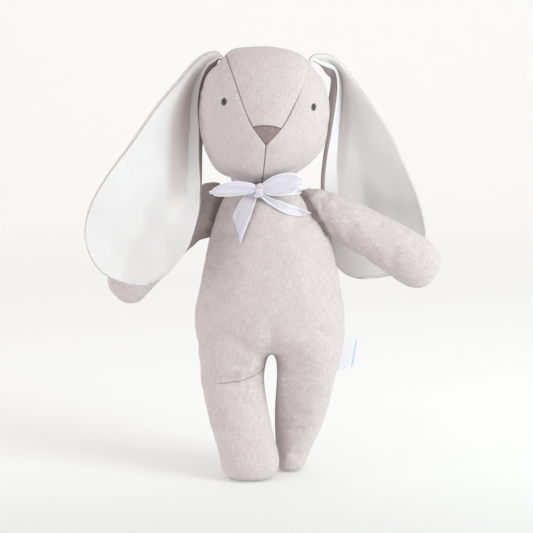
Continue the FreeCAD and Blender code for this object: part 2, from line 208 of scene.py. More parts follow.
def woven(name, colour, thread, slub, sheen, contrast, deep=(0.30, 0.22, 0.20)):
    """A plain weave: crossing threads, short slubs both ways, mottled dye and a soft nap. It follows
    the cloth's own flat coordinates, so it doesn't swim when a limb moves. deep tints its grooves:
    its seam lines, and the painted shade that its groove values carry."""
    made = Recipe(name)
    flat = made.attribute("cloth", "Vector")
    drift = made.maths("MULTIPLY", made.grain(flat, (180, 180, 1), 3), thread * 5)
    warp, weft = (made.ribs(made.maths("ADD", part, drift), 2 * thread) for part in made.parts(flat)[:2])
    weave = made.maths("MULTIPLY", warp, weft)
    long_slub = made.grain(flat, (1 / (1.7 * thread), 1 / (15 * thread), 1), 3, 0.6)
    cross_slub = made.grain(flat, (1 / (12 * thread), 1 / (1.8 * thread), 1), 2, 0.55)
    fuzz = made.grain(flat, (1 / (1.6 * thread), 1 / (1.6 * thread), 1), 3, 0.7)
    mottle = made.grain(flat, (70, 55, 1), 4, 0.6)
    darker, lighter = shade(colour, 1 - contrast), shade(colour, 1 + 0.6 * contrast)
    streaks = made.ramp(long_slub, (0.32, darker), (0.68, lighter))
    crossed = made.ramp(cross_slub, (0.33, (1 - 0.7 * contrast,) * 3), (0.66, (1 + 0.3 * contrast,) * 3))
    speckled = made.ramp(fuzz, (0.35, (1 - 0.9 * contrast,) * 3), (0.62, (1 + 0.3 * contrast,) * 3))
    dyed = made.ramp(mottle, (0.3, (0.965, 0.955, 0.955)), (0.7, (1.0, 1.0, 1.0)))
    tone = made.layered(streaks, crossed, speckled, dyed)
    made.paint(made.mixed(made.attribute("groove", "Fac"), tone, made.layered(tone, deep)))
    height = made.heaped((weave, 0.22), (long_slub, slub), (cross_slub, slub * 0.8), (fuzz, 0.45))
    made.bump(height, thread * 0.8, 0.7)
    made.set(Roughness=0.9, Sheen_Weight=sheen, Sheen_Roughness=0.45, Specular_IOR_Level=0.15)
    return made.material


def satin(name, colour, thread):
    """Ribbon: fine ribs along it, a slightly sheer body and closer, whiter edges."""
    made = Recipe(name)
    flat = made.attribute("cloth", "Vector")
    rib = made.ribs(made.parts(flat)[0], thread)
    pick = made.grain(flat, (1 / (3 * thread), 1 / (0.6 * thread), 1), 2)
    cloud = made.grain(flat, (260, 45, 1), 3)
    tone = made.ramp(cloud, (0.3, shade(colour, 0.86)), (0.7, shade(colour, 1.04)))
    picked = made.ramp(pick, (0.35, (0.94, 0.94, 0.96)), (0.6, (1.0, 1.0, 1.0)))
    body = made.layered(tone, picked)
    made.paint(made.mixed(made.attribute("groove", "Fac"), body, shade(colour, 1.35)))
    made.bump(made.heaped((rib, 0.3), (pick, 0.7)), thread * 0.4, 0.5)
    made.set(Roughness=0.42, Sheen_Weight=0.25, Sheen_Roughness=0.3, Specular_IOR_Level=0.4)
    made.set(Alpha=0.92, Anisotropic=0.4)
    return made.material


LABEL_RIB = 0.5 * MM
STRIPE_PLACE = 1.6 * MM
STRIPE_HALF = 0.75 * MM


def label_tape(name, colour, mark):
    """Woven label: fine ribs and two plain stripes."""
    made = Recipe(name)
    flat = made.attribute("cloth", "Vector")
    across, along, _ = made.parts(flat)
    rib = made.ribs(along, LABEL_RIB)
    grain = made.grain(flat, (1500, 900, 1), 2)
    stripe = made.maths("ABSOLUTE", made.maths("SUBTRACT", made.maths("ABSOLUTE", across), STRIPE_PLACE))
    inside = made.maths("LESS_THAN", made.heaped((stripe, 1.0), (grain, 0.3 * MM)), STRIPE_HALF)
    tone = made.ramp(grain, (0.3, shade(colour, 0.94)), (0.7, colour))
    made.paint(made.mixed(inside, tone, mark))
    made.bump(made.heaped((rib, 0.3), (grain, 1.0)), 0.2 * MM, 0.5)
    made.set(Roughness=0.7, Sheen_Weight=0.2, Specular_IOR_Level=0.25)
    return made.material


def twisted(name, colour):
    """Embroidery thread: twisted strands with a low gloss."""
    made = Recipe(name)
    strand = made.grain(made.attribute("cloth", "Vector"), (4200, 1200, 1), 2)
    made.paint(made.ramp(strand, (0.35, shade(colour, 0.6)), (0.65, shade(colour, 1.7))))
    made.bump(strand, 0.2 * MM, 0.8)
    made.set(Roughness=0.55, Specular_IOR_Level=0.35, Sheen_Weight=0.1)
    return made.material


def backdrop_paper(name, colour, tones, glow):
    """Plain paper with painted shade that changes with how far back it lies. It glows faintly."""
    made = Recipe(name)
    fade = made.node("ShaderNodeMapRange")
    first, last = tones[0][0], tones[-1][0]
    fade.inputs["From Min"].default_value = first
    fade.inputs["From Max"].default_value = last
    place = made.parts(made.node("ShaderNodeNewGeometry").outputs["Position"])
    made.feed(fade.inputs["Value"], place[1])
    stops = [((back - first) / (last - first), shade(colour, tone)) for back, tone in tones]
    made.paint(made.ramp(fade.outputs["Result"], *stops))
    made.set(Roughness=0.9, Specular_IOR_Level=0.1, Emission_Color=(1, 1, 1, 1), Emission_Strength=glow)
    return made.material


# All but the last have the names of the record's slots.
LINEN = woven("linen", linear(213, 204, 203), 0.50 * MM, slub=0.45, sheen=0.22, contrast=0.11)
NOSE = woven("nose_linen", linear(160, 142, 138), 0.62 * MM, slub=0.75, sheen=0.15, contrast=0.24)
# The warm colour that the ear lining's painted shade tends to.
LINING_SHADE_TINT = (0.42, 0.25, 0.19)
LINING = woven("ear_lining", linear(227, 225, 225), 0.30 * MM, 0.20, 0.12, 0.02, LINING_SHADE_TINT)
RIBBON = satin("ribbon", linear(226, 222, 231), 0.35 * MM)
TAPE = label_tape("label_tape", linear(240, 240, 244), linear(168, 200, 232))
EYE_THREAD = twisted("eye_thread", linear(40, 39, 43))
STITCH_THREAD = twisted("stitch_thread", linear(150, 134, 128))

# ---------------------------------------------------------------- light and floor

WORLD_LIGHT = 0.80
WORLD_COLOUR = (1.0, 0.950, 0.952, 1)
# Name, place, size, power and colour of each lamp.
LAMPS = [
    ("key", (1.40, -0.85, 0.66), 0.9, 19.5, (0.88, 1.0, 1.0)),
    ("fill", (-1.35, -0.42, 0.16), 0.6, 5.8, (0.97, 0.99, 1.0)),
]
PAPER_COLOUR = (0.85, 0.862, 0.850)
PAPER_GLOW = 0.175
# Painted shade: the paper is a little darker underfoot than on the wall. How far back, and the tone there.
PAPER_TONES = [(-0.20, 0.74), (0.02, 0.885), (0.30, 0.93), (1.20, 0.93), (2.00, 0.99)]
PAPER_REACH = 8.0
WALL_PLACE = 2.8
WALL_RADIUS = 0.9
WALL_STEPS = 24


def make_light():
    """A white sky, and soft light that comes mostly from the right."""
    scene.view_settings.view_transform = "Standard"
    world = bpy.data.worlds.new("studio")
    world.use_nodes = True
    sky = world.node_tree.nodes["Background"]
    sky.inputs["Color"].default_value = WORLD_COLOUR
    sky.inputs["Strength"].default_value = WORLD_LIGHT
    scene.world = world
    for name, place, size, power, colour in LAMPS:
        data = bpy.data.lights.new(name, "AREA")
        data.size = size
        data.energy = power
        data.color = colour
        lamp = add_object(name, data)
        lamp.location = place
        lamp.rotation_euler = (LOOK_AT - Vector(place)).to_track_quat("-Z", "Y").to_euler()


def make_floor():
    """A sheet of paper that lies flat in front and curves up into a wall behind."""
    profile = [(-PAPER_REACH, 0.0)]
    for turn in np.linspace(0, math.pi / 2, WALL_STEPS + 1):
        back = WALL_PLACE + WALL_RADIUS * (math.sin(turn) - 1)
        profile.append((back, WALL_RADIUS * (1 - math.cos(turn))))
    profile.append((WALL_PLACE, PAPER_REACH))
    points = [(side * PAPER_REACH, y, z) for y, z in profile for side in (-1, 1)]
    faces = [(2 * i, 2 * i + 1, 2 * i + 3, 2 * i + 2) for i in range(len(profile) - 1)]
    mesh = bpy.data.meshes.new("floor")
    mesh.from_pydata(points, [], faces)
    mesh.polygons.foreach_set("use_smooth", [True] * len(faces))
    mesh.materials.append(backdrop_paper("paper", PAPER_COLOUR, PAPER_TONES, PAPER_GLOW))
    add_object("floor", mesh)


make_light()
make_floor()

# ---------------------------------------------------------------- meshes


def through(rows, places):
    """Rows of numbers on a smooth Catmull-Rom curve through some rows. A place is a row's number,
    or a fraction between two."""
    rows = np.array(rows, float)
    ends = np.vstack([2 * rows[0] - rows[1], rows, 2 * rows[-1] - rows[-2]])
    out = []
    for place in places:
        i = min(int(place), len(rows) - 2)
        t = place - i
        before, first, second, after = ends[i : i + 4]
        out.append(
            first
            + (second - before) * t / 2
            + (2 * before - 5 * first + 4 * second - after) * t**2 / 2
            + (3 * first - before - 3 * second + after) * t**3 / 2
        )
    return np.array(out)


def evenly(rows, steps):
    """Smooth rows, a fixed number of steps from each given row to the next."""
    return through(rows, np.linspace(0, len(rows) - 1, (len(rows) - 1) * steps + 1))


def edgewise(count):
    """Shares from 0 to 1 that lie closer together near both ends."""
    return (1 - np.cos(np.linspace(0, math.pi, count))) / 2


def unit(vectors):
    return vectors / np.maximum(np.linalg.norm(vectors, axis=-1, keepdims=True), 1e-12)


def smoothstep(low, high, values):
    t = np.clip((values - low) / (high - low), 0, 1)
    return t * t * (3 - 2 * t)


def wobble(points, scale, seed=0.0):
    """Smooth noise, about -0.5 to 0.5, at each point."""
    shift = Vector((seed * 7.3, seed * 3.1, seed * 5.7))
    return np.array([noise.noise(Vector(p) * scale + shift) for p in points])


def vertex_values(mesh, kind="co"):
    """Every vertex's place, or its normal."""
    flat = np.empty(len(mesh.vertices) * 3)
    mesh.vertices.foreach_get(kind, flat)
    return flat.reshape(-1, 3)


def move_to(thing, points):
    thing.data.vertices.foreach_set("co", points.ravel())
    thing.data.update()


def build(name, points, faces, material, cloth=None, groove=None):
    """A piece from points and faces, with its flat cloth coordinates as attributes."""
    mesh = bpy.data.meshes.new(name)
    mesh.from_pydata([tuple(p) for p in points], [], faces)
    mesh.polygons.foreach_set("use_smooth", [True] * len(mesh.polygons))
    if cloth is None:
        cloth = np.array(points)[:, [0, 2, 1]]
    layer = mesh.attributes.new("cloth", "FLOAT_VECTOR", "POINT")
    layer.data.foreach_set("vector", np.array(cloth, np.float32).ravel())
    layer = mesh.attributes.new("groove", "FLOAT", "POINT")
    layer.data.foreach_set("value", np.zeros(len(points)) if groove is None else groove)
    mesh.materials.append(material)
    mesh.update()
    return add_object(name, mesh)


# The stuffing that a panel stands for besides its own node.
FILLING = {
    "cheek_left": "head_stuffing", "torso_front": "torso_stuffing",
    "leg_left_front": "leg_left_stuffing", "leg_right_front": "leg_right_stuffing",
    "arm_left_front": "arm_left_stuffing", "arm_right_front": "arm_right_stuffing",
}


def finished(piece, node, body=None, blend=None):
    """Hides the model's nodes that a piece stands for. It moves with its body, or, given a blend,
    keeps its points where they lie in the world."""
    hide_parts(node, *([FILLING[node]] if node in FILLING else []))
    if blend:
        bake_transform(piece)
    else:
        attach(piece, body)


def tube_faces(rings, around, first=0):
    """The faces of a closed tube whose points run round one ring after another."""
    faces = []
    for a in range(first, first + (rings - 1) * around, around):
        for k in range(around):
            n = (k + 1) % around
            faces.append((a + k, a + n, a + around + n, a + around + k))
    last = first + (rings - 1) * around
    faces.append(tuple(first + k for k in reversed(range(around))))
    faces.append(tuple(last + k for k in range(around)))
    return faces


RING_POINTS = 40


def ring_points(centre, across, deep, power):
    """Points round an oval with two half axes, squarer for a greater power."""
    points = []
    for turn in np.arange(RING_POINTS) * 2 * math.pi / RING_POINTS:
        c, s = math.cos(turn), math.sin(turn)
        side = across * math.copysign(abs(c) ** (2 / power), c)
        points.append(tuple(centre + side + deep * math.copysign(abs(s) ** (2 / power), s)))
    return points


def applied(thing):
    """Replaces an object's mesh with its modifiers' result."""
    graph = bpy.context.evaluated_depsgraph_get()
    result = bpy.data.meshes.new_from_object(thing.evaluated_get(graph))
    thing.modifiers.clear()
    thing.data = result
    return thing


def skinned(name, forms, voxel, smooth):
    """One even skin over closed forms, which may overlap. A form is a list of rings."""
    points, faces = [], []
    for rings in forms:
        faces += tube_faces(len(rings), RING_POINTS, len(points))
        points += [point for ring in rings for point in ring_points(*ring)]
    mesh = bpy.data.meshes.new(name)
    mesh.from_pydata(points, [], faces)
    bm = bmesh.new()
    bm.from_mesh(mesh)
    bmesh.ops.recalc_face_normals(bm, faces=bm.faces)
    bm.to_mesh(mesh)
    bm.free()
    thing = add_object(name, mesh)
    remesh = thing.modifiers.new("Remesh", "REMESH")
    remesh.mode = "VOXEL"
    remesh.voxel_size = voxel
    relax = thing.modifiers.new("Smooth", "SMOOTH")
    relax.factor = 0.5
    relax.iterations = smooth
    return applied(thing)


CLOTH_FRAMES = 20
CLOTH_SETTINGS = {
    "quality": 5, "mass": 0.15, "tension_stiffness": 12, "compression_stiffness": 12,
    "shear_stiffness": 4, "bending_stiffness": 0.35, "use_pressure": True, "shrink_min": -0.02,
    "vertex_group_mass": "held", "pin_stiffness": 1.0,
}
HOLD = 0.9


def stuffed(thing, seams, hold_width, holds, pressure, cap):
    """Fills a skin: cloth under pressure, which moves a point cap at most. It is held along the
    seams, and where holds, which have a value for each point, are 1."""
    mesh = thing.data
    start = vertex_values(mesh)
    for seam in seams:
        near = np.exp(-((seam.field(start) / hold_width) ** 2)) * seam.sewn(start)
        holds.append(near)
    held = np.max(holds, axis=0) * HOLD
    group = thing.vertex_groups.new(name="held")
    for index in np.nonzero(held > 0.01)[0]:
        group.add([int(index)], float(held[index]), "REPLACE")
    cloth = thing.modifiers.new("Cloth", "CLOTH")
    cloth.point_cache.frame_start = 1
    cloth.point_cache.frame_end = CLOTH_FRAMES
    for name, value in CLOTH_SETTINGS.items():
        setattr(cloth.settings, name, value)
    cloth.settings.uniform_pressure_force = pressure
    cloth.settings.effector_weights.gravity = 0
    for number in range(1, CLOTH_FRAMES + 1):
        scene.frame_set(number)
    graph = bpy.context.evaluated_depsgraph_get()
    step = vertex_values(thing.evaluated_get(graph).data) - start
    thing.modifiers.clear()
    thing.vertex_groups.clear()
    scene.frame_set(1)
    length = np.linalg.norm(step, axis=1, keepdims=True)
    move_to(thing, start + step * np.minimum(1, cap / np.maximum(length, 1e-9)))


def refined(thing):
    divide = thing.modifiers.new("Subdivision", "SUBSURF")
    divide.levels = 1
    return applied(thing)


def surface_of(thing):
    return BVHTree.FromObject(thing, bpy.context.evaluated_depsgraph_get())


# ---------------------------------------------------------------- seams and panels

SEAM_HALF = 0.55 * MM
SEAM_DEPTH = 0.9 * MM
SEAM_LIP = 0.12 * MM
PUCKER_REACH = 6.0 * MM
PUCKER_SCALE = 150
PUCKER_STRETCH = 0.25


def everywhere(points):
    return np.ones(len(points))


class Seam:
    """A sewn line: where field(points) is 0, as far as sewn(points) is 1. axis is the coordinate
    that the field mostly follows; puckers run along it. dark is how dark its line is painted: partly
    the thread, partly painted shade in its groove."""

    def __init__(self, field, axis, sewn=everywhere, pucker=0.35 * MM, depth=SEAM_DEPTH, dark=1.0):
        self.field = field
        self.axis = axis
        self.sewn = sewn
        self.pucker = pucker
        self.depth = depth
        self.dark = dark


def cut(bm, seam, level):
    """Splits the faces that a field's level crosses, along that level."""
    keep = bm.verts.layers.float_vector["rest"]
    points = np.array([tuple(v.co) for v in bm.verts])
    values = seam.field(points)
    bm.verts.index_update()
    for v, value in zip(bm.verts, values):
        v[keep] = v.co
        v.co[seam.axis] = value
    geometry = set()
    for face in bm.faces:
        side = [values[v.index] > level for v in face.verts]
        if any(side) and not all(side):
            geometry.update((face, *face.edges, *face.verts))
    normal = Vector((0, 0, 0))
    normal[seam.axis] = 1
    bmesh.ops.bisect_plane(bm, geom=list(geometry), dist=1e-7, plane_co=normal * level, plane_no=normal)
    for v in bm.verts:
        v.co = v[keep]


def sewn_panels(thing, seams, label):
    """Cuts a skin into panels along its seams. Seams sink into V grooves and the cloth beside them
    puckers. label(points) names each face's panel; returns {name: (points, normals, faces, groove)}."""
    bm = bmesh.new()
    bm.from_mesh(thing.data)
    bpy.data.objects.remove(thing)
    bm.verts.layers.float_vector.new("rest")
    for seam in seams:
        for level in (-SEAM_HALF, 0.0, SEAM_HALF):
            cut(bm, seam, level)
    bm.normal_update()
    points = np.array([tuple(v.co) for v in bm.verts])
    normals = np.array([tuple(v.normal) for v in bm.verts])
    bm.verts.index_update()
    faces = [[v.index for v in face.verts] for face in bm.faces]
    bm.free()
    groove = np.zeros(len(points))
    push = np.zeros(len(points))
    for number, seam in enumerate(seams):
        value = np.abs(seam.field(points))
        sewn = seam.sewn(points)
        sink = np.clip(1 - value / SEAM_HALF, 0, 1) * sewn
        # Seam lines darken the cloth: partly the thread, partly painted shade in the groove.
        groove = np.maximum(groove, sink * seam.dark)
        push = np.minimum(push, -seam.depth * sink)
        along = points.copy()
        along[:, seam.axis] *= PUCKER_STRETCH
        near = np.exp(-((value / PUCKER_REACH) ** 2)) * sewn
        pucker = wobble(along, PUCKER_SCALE, number + 1.0) * seam.pucker * 2
        push += near * (pucker + SEAM_LIP * (sink < 0.5))
    points = points + normals * push[:, None]
    centres = np.array([points[face].mean(axis=0) for face in faces])
    names = label(centres)
    panels = {}
    for name in sorted(set(names)):
        chosen = [face for face, owner in zip(faces, names) if owner == name]
        used = np.unique([i for face in chosen for i in face])
        place = {old: new for new, old in enumerate(used)}
        renumbered = [[place[i] for i in face] for face in chosen]
        panels[name] = (points[used], normals[used], renumbered, groove[used])
    return panels


def panel_piece(name, panel, cloth, material, fill, one_form=False, **follows):
    """Makes a panel a piece. As one_form, it is shaded without a break where it meets the others."""
    points, normals, faces, groove = panel
    piece = build(f"{name}_cloth", points, faces, material, cloth, groove)
    if one_form:
        piece.data.normals_split_custom_set_from_vertices([tuple(n) for n in normals])
    finished(piece, name, **follows)


def line_at(rows, place):
    """A smooth line through rows, each a place along it and how far aside it lies there."""
    line = evenly(rows, 6) * MM
    return np.interp(place, line[:, 0], line[:, 1])


def laid_flat(points, centre, up, front, side):
    """Flat cloth coordinates of a round form: how far round it from its front, and how far along it.
    up, front and side are the form's own directions."""
    local = (points - centre) @ np.array([side, front, up]).T
    level = local[:, 2]
    bins = np.linspace(level.min(), level.max() + 1e-9, 40)
    which = np.clip(np.digitize(level, bins) - 1, 0, 38)
    half = np.zeros((39, 3))
    for i in range(39):
        rows = local[which == i]
        if len(rows):
            low, high = rows[:, :2].min(axis=0), rows[:, :2].max(axis=0)
            half[i] = [(high[0] - low[0]) / 2, (high[1] - low[1]) / 2, (high[0] + low[0]) / 2]
    middles = (bins[:-1] + bins[1:]) / 2
    wide = np.interp(level, middles, half[:, 0])
    deep = np.maximum(np.interp(level, middles, half[:, 1]), 1e-4)
    shift = np.interp(level, middles, half[:, 2])
    wide = np.maximum(wide, 1e-4)
    turn = np.arctan2((local[:, 0] - shift) / wide, local[:, 1] / deep)
    back = np.abs(turn) > math.pi / 2
    turn = np.where(back, np.sign(turn) * math.pi - turn, turn)
    round_it = (wide + deep) / 2 * turn + (wide - deep) / 4 * np.sin(2 * turn) + shift
    run = np.concatenate([[0], np.cumsum(np.hypot(np.diff(half[:, 1]), np.diff(middles)))])
    along = np.interp(level, middles, run)
    return np.column_stack([round_it, along, np.zeros(len(points))])


# ---------------------------------------------------------------- head

# The head's panels and the way each mostly faces, which lays its weave.
PANEL_FACING = {
    "forehead_gusset": (0, -1, 0), "nose_patch": (0, -1, 0),
    "cheek_left": (0.6, -0.8, 0), "cheek_right": (-0.6, -0.8, 0),
    "head_back_left": (0.5, 0.87, 0), "head_back_right": (-0.5, 0.87, 0),
}
HEAD_LOW, HEAD_HIGH = node_box(*PANEL_FACING)
HEAD_CENTRE = (HEAD_LOW + HEAD_HIGH) / 2
HEAD_SQUARENESS = 2.5
HEAD_POWER = 2.05
HEAD_RINGS = 30
HEAD_POLE = 0.07
HEAD_LEAN = Matrix.Rotation(math.radians(3.5), 3, "Y") @ Matrix.Rotation(math.radians(2.8), 3, "Z")
HEAD_VOXEL = 3.0 * MM
HEAD_SWELL = 1.3 * MM
HEAD_HOLD = 2.2 * MM
HEAD_PRESSURE = 3.0
HEAD_CAP = 2.6 * MM
HEAD_FILL = 0.85
SNOUT_LEVEL = -14.0 * MM
SNOUT_REACH = 3.5 * MM
SNOUT_SPREAD = 17.0 * MM
# The forehead seam: height from the head's centre, and how far out it lies.
FOREHEAD_SEAM = [
    (-24, 0), (-10.4, 11), (-0.2, 16.7), (12, 22), (24, 26.7), (36, 31.4), (47, 35.2), (56, 37.5),
]
SEAM_TIP = -24.0 * MM
NOSE_SIDE = 11.4 * MM
NOSE_CORNER = -10.4 * MM
NOSE_ARCH = 1.8 * MM
EYE_SIDES = {"eye_left": 36.2 * MM, "eye_right": -34.2 * MM}
EYE_LEVEL = 7.6 * MM
# Where the head is fuller than an oval: side, level, how far it moves sideways and up, and spread.
FULLER = [
    (-31, 48, 0, 1.8, 11), (-33, -42, -1.2, -4.2, 15), (-52, 4, -1.4, 0, 38), (-4, -52, 0, -5.0, 19),
    (-43, 42, 2.0, -1.2, 9), (41, 38, -2.6, -1.8, 15), (52, 20, -1.0, 0, 12), (36, -38, -0.8, 1.6, 14),
]


def nose_line(side):
    return NOSE_CORNER + NOSE_ARCH * (1 - (side / NOSE_SIDE) ** 2)


def head_seams():
    front = lambda p: smoothstep(-0.5 * MM, -3 * MM, p[:, 1])
    behind = lambda p: smoothstep(0.5 * MM, 3 * MM, p[:, 1])
    # The forehead seam on the toy's left is shallower higher up, with less painted shade in its groove.
    faint = lambda p: front(p) * (0.22 + 0.78 * smoothstep(26 * MM, 4 * MM, p[:, 2]))
    nose = lambda p: front(p) * (np.abs(p[:, 0]) < NOSE_SIDE)
    return [
        Seam(lambda p: p[:, 0] - line_at(FOREHEAD_SEAM, p[:, 2]), 0, faint, 0.22 * MM),
        Seam(lambda p: -p[:, 0] - line_at(FOREHEAD_SEAM, p[:, 2]), 0, front, 0.22 * MM),
        Seam(lambda p: p[:, 1], 1),
        Seam(lambda p: p[:, 0], 0, behind),
        Seam(lambda p: p[:, 2] - nose_line(p[:, 0]), 2, nose, 0.1 * MM, 0.6 * MM),
    ]


def head_panel(p):
    x, y, z = p.T
    wedge = (np.abs(x) < line_at(FOREHEAD_SEAM, z)) & (z > SEAM_TIP)
    gusset = np.where(z > nose_line(x), "forehead_gusset", "nose_patch")
    cheek = np.where(x > 0, "cheek_left", "cheek_right")
    nape = np.where(x > 0, "head_back_left", "head_back_right")
    return np.where(y > 0, nape, np.where(wedge, gusset, cheek))


def on_head(points):
    """Points of the upright head, about its centre, where they are on the leaning head."""
    return points @ np.array(HEAD_LEAN).T + HEAD_CENTRE


def on_ball(points, radius, facing):
    """Flat cloth coordinates of a panel of the head, whose threads run straight up and across."""
    away = unit(points)
    across = np.cross((0, 0, 1), -np.array(facing))
    side = np.arcsin(np.clip(away @ unit(across), -0.98, 0.98))
    rise = np.arcsin(np.clip(away[:, 2], -0.98, 0.98))
    return np.column_stack([side * radius, rise * radius, np.zeros(len(points))])


def make_head():
    half = (HEAD_HIGH - HEAD_LOW) / 2 - HEAD_SWELL
    rings = []
    for share in -np.cos(np.linspace(HEAD_POLE, math.pi - HEAD_POLE, HEAD_RINGS)):
        narrow = (1 - abs(share) ** HEAD_SQUARENESS) ** (1 / HEAD_SQUARENESS)
        across = Vector((half[0] * narrow, 0, 0))
        deep = Vector((0, half[1] * narrow, 0))
        rings.append((Vector((0, 0, half[2] * share)), across, deep, HEAD_POWER))
    thing = skinned("head_skin", [rings], HEAD_VOXEL, smooth=4)
    points = vertex_values(thing.data)
    off = (points[:, 0] ** 2 + (points[:, 2] - SNOUT_LEVEL) ** 2) / SNOUT_SPREAD**2
    points[:, 1] -= np.where(points[:, 1] < 0, SNOUT_REACH * np.exp(-off), 0)
    flat = points[:, [0, 2]].copy()
    for side, level, aside, upward, spread in FULLER:
        near = np.exp(-((flat - np.array((side, level)) * MM) ** 2).sum(axis=1) / (spread * MM) ** 2)
        points[:, 0] += near * aside * MM
        points[:, 2] += near * upward * MM
    move_to(thing, points)
    seams = head_seams()
    stuffed(thing, seams[:4], HEAD_HOLD, [], HEAD_PRESSURE, HEAD_CAP)
    surface = surface_of(refined(thing))
    for name, panel in sewn_panels(thing, seams, head_panel).items():
        cloth = on_ball(panel[0], half[0], PANEL_FACING[name])
        material = NOSE if name == "nose_patch" else LINEN
        panel_piece(name, (on_head(panel[0]), *panel[1:]), cloth, material, HEAD_FILL, body="head")
    return surface


EYE_WIDE = 2.1 * MM
EYE_TALL = 2.9 * MM
EYE_THREADS = 11
EYE_THICK = EYE_TALL * 2 / EYE_THREADS * 0.62
EYE_SLANT = 0.12 * MM
EYE_STEPS = 10
EYE_AROUND = 8


def make_eye(name, surface):
    """An oval of satin stitches, each a thread that dips into the cloth at both ends."""
    up = Vector((0, 0, 1))
    points, faces, cloth = [], [], []
    for row in range(EYE_THREADS):
        faces += tube_faces(EYE_STEPS + 1, EYE_AROUND, len(points))
        level = (row + 0.5) / EYE_THREADS * 2 - 1
        reach = EYE_WIDE * math.sqrt(1 - level * level) * (1 + 0.06 * math.sin(row * 2.4))
        for share in np.linspace(-1, 1, EYE_STEPS + 1):
            x = EYE_SIDES[name] + reach * share
            z = EYE_LEVEL + EYE_TALL * level + EYE_SLANT * share
            hit, normal, _, _ = surface.ray_cast(Vector((x, -1, z)), Vector((0, 1, 0)))
            rise = EYE_THICK * (1.15 * math.sqrt(max(0, 1 - share**2)) - 0.35)
            middle = hit + normal * rise
            for turn in np.arange(EYE_AROUND) * 2 * math.pi / EYE_AROUND:
                spoke = normal * math.cos(turn) + up * math.sin(turn)
                points.append(tuple(middle + spoke * EYE_THICK * 0.62))
                cloth.append((turn * EYE_THICK, x, row * MM))
    piece = build(f"{name}_stitches", on_head(np.array(points)), faces, EYE_THREAD, cloth)
    finished(piece, name, body="head")


head_surface = make_head()
make_eye("eye_left", head_surface)
make_eye("eye_right", head_surface)

# ---------------------------------------------------------------- body: torso and legs

BODY_VOXEL = 2.6 * MM
BODY_SWELL = 1.4
BODY_HOLD = 2.6 * MM
BODY_PRESSURE = 3.0
BODY_CAP = 3.0 * MM
BODY_FILL = 0.85
SOLE_LEVEL = 0.3 * MM
LIMB_POWER = 2.1
HIP_LEVEL = PIVOTS["leg_left_swing"].z
SPLIT_LEVEL = 94.5 * MM
LEG_BLEND_END = 56.0 * MM
BACK_SEAM_SIDE = 5.4 * MM
CROTCH_SIDE = 5.6 * MM
FOOT_FORWARD = {"left": 9.0 * MM, "right": -18.0 * MM}
# Level, half width, half depth, side.
TORSO = [
    (102, 50, 24, 5.8), (105, 56.6, 29, 5.8), (111, 60.0, 32.8, 5.6), (120, 61.0, 35.2, 5.0),
    (136, 61.0, 36.6, 4.6), (156, 57.2, 36.2, 5.0), (178, 53.0, 34.6, 5.0), (198, 48.2, 32.6, 4.6),
    (213, 41.4, 30.8, 2.2), (225, 34.8, 28.4, 0.4), (233, 28.8, 25.6, 0), (239, 24.6, 22.0, 0),
    (243, 17.0, 16.0, 0),
]
# Level, half width, half depth, side, forward.
LEG_LEFT = [
    (0.6, 8.2, 10.0, 21.6, 11.0), (2.2, 11.2, 15.2, 21.8, 11.0), (8, 13.0, 17.2, 22.4, 11.4),
    (20, 15.2, 18.6, 24.8, 11.6), (34, 18.8, 19.8, 27.6, 9.6), (54, 22.0, 22.4, 30.8, 5.6),
    (79, 23.8, 27.0, 34.2, 0.6), (94, 26.0, 30.0, 36.0, 0), (99, 27.2, 31.0, 35.8, 0),
    (104, 29.0, 32.0, 35.4, 0), (112, 28.4, 32.6, 35.0, 0), (121, 22.0, 30.0, 35.0, 0),
    (127, 13.0, 20.0, 34.6, 0),
]
LEG_RIGHT = [
    (0.6, 13.0, 13.0, -11.5, -18.0), (2.4, 19.4, 18.2, -11.2, -18.0), (9, 23.6, 21.6, -11.4, -17.6),
    (18, 24.4, 22.4, -11.9, -16.8), (36, 24.4, 22.6, -16.8, -13.4), (54, 24.8, 23.4, -21.0, -8.6),
    (79, 25.6, 26.8, -25.6, -1.0), (94, 27.4, 30.0, -25.2, 0), (99, 28.6, 31.0, -24.6, 0),
    (104, 29.6, 32.0, -24.2, 0), (112, 28.6, 32.6, -23.8, 0), (121, 22.0, 30.0, -23.8, 0),
    (127, 13.0, 20.0, -23.6, 0),
]
# The sharp fold across the right hip, as side and level.
HIP_FOLD = [(-52, 78.0), (-45, 78.5), (-32.5, 79.7), (-18.4, 81.8), (-6.8, 85.4), (-0.1, 88.6), (3.0, 93.6)]
# How dark the fold's line is painted: its stitches, and painted shade in the crease.
HIP_FOLD_THREAD_AND_SHADE = 0.34
# Where a fold's raised lip lies and its width, for the fold's width, and how high its lower lip is.
LIP_PLACE = 2.4
LIP_WIDTH = 1.8
LOWER_LIP = 0.4
# The soft folds beside the crotch and above it: points as side and level, depth, width and lip.
CREASES = [
    ([(4.0, 101), (-0.5, 91), (-7.0, 86), (-18.3, 83), (-33, 80.8)], 1.4, 3.6, 0.5),
    ([(9.5, 101), (12.5, 95), (15.4, 90.6), (22, 87.4), (32, 86)], 1.3, 3.2, 0.3),
    ([(6.4, 130), (6.4, 118), (6.4, 108), (6.2, 101)], 2.8, 6.0, 0.4),
]


def upright_rings(rows):
    rings = []
    for row in evenly(rows, 4):
        level, wide, deep, side, forward = (*row, 0)[:5]
        across = Vector((wide * MM, 0, 0))
        front = Vector((0, (deep - BODY_SWELL) * MM, 0))
        rings.append((Vector((side * MM, forward * MM, level * MM)), across, front, LIMB_POWER))
    return rings


def on_left(points):
    """Whether each point is nearer the left leg's line than the right one's, for each leg's size."""
    away = []
    for rows in (LEG_LEFT, LEG_RIGHT):
        level, wide, deep, side, forward = np.array(rows).T * MM
        beside = points[:, 0] - np.interp(points[:, 2], level, side)
        before = points[:, 1] - np.interp(points[:, 2], level, forward)
        wide, deep = np.interp(points[:, 2], level, wide), np.interp(points[:, 2], level, deep)
        away.append(np.hypot(beside / wide, before / deep))
    return away[0] < away[1]


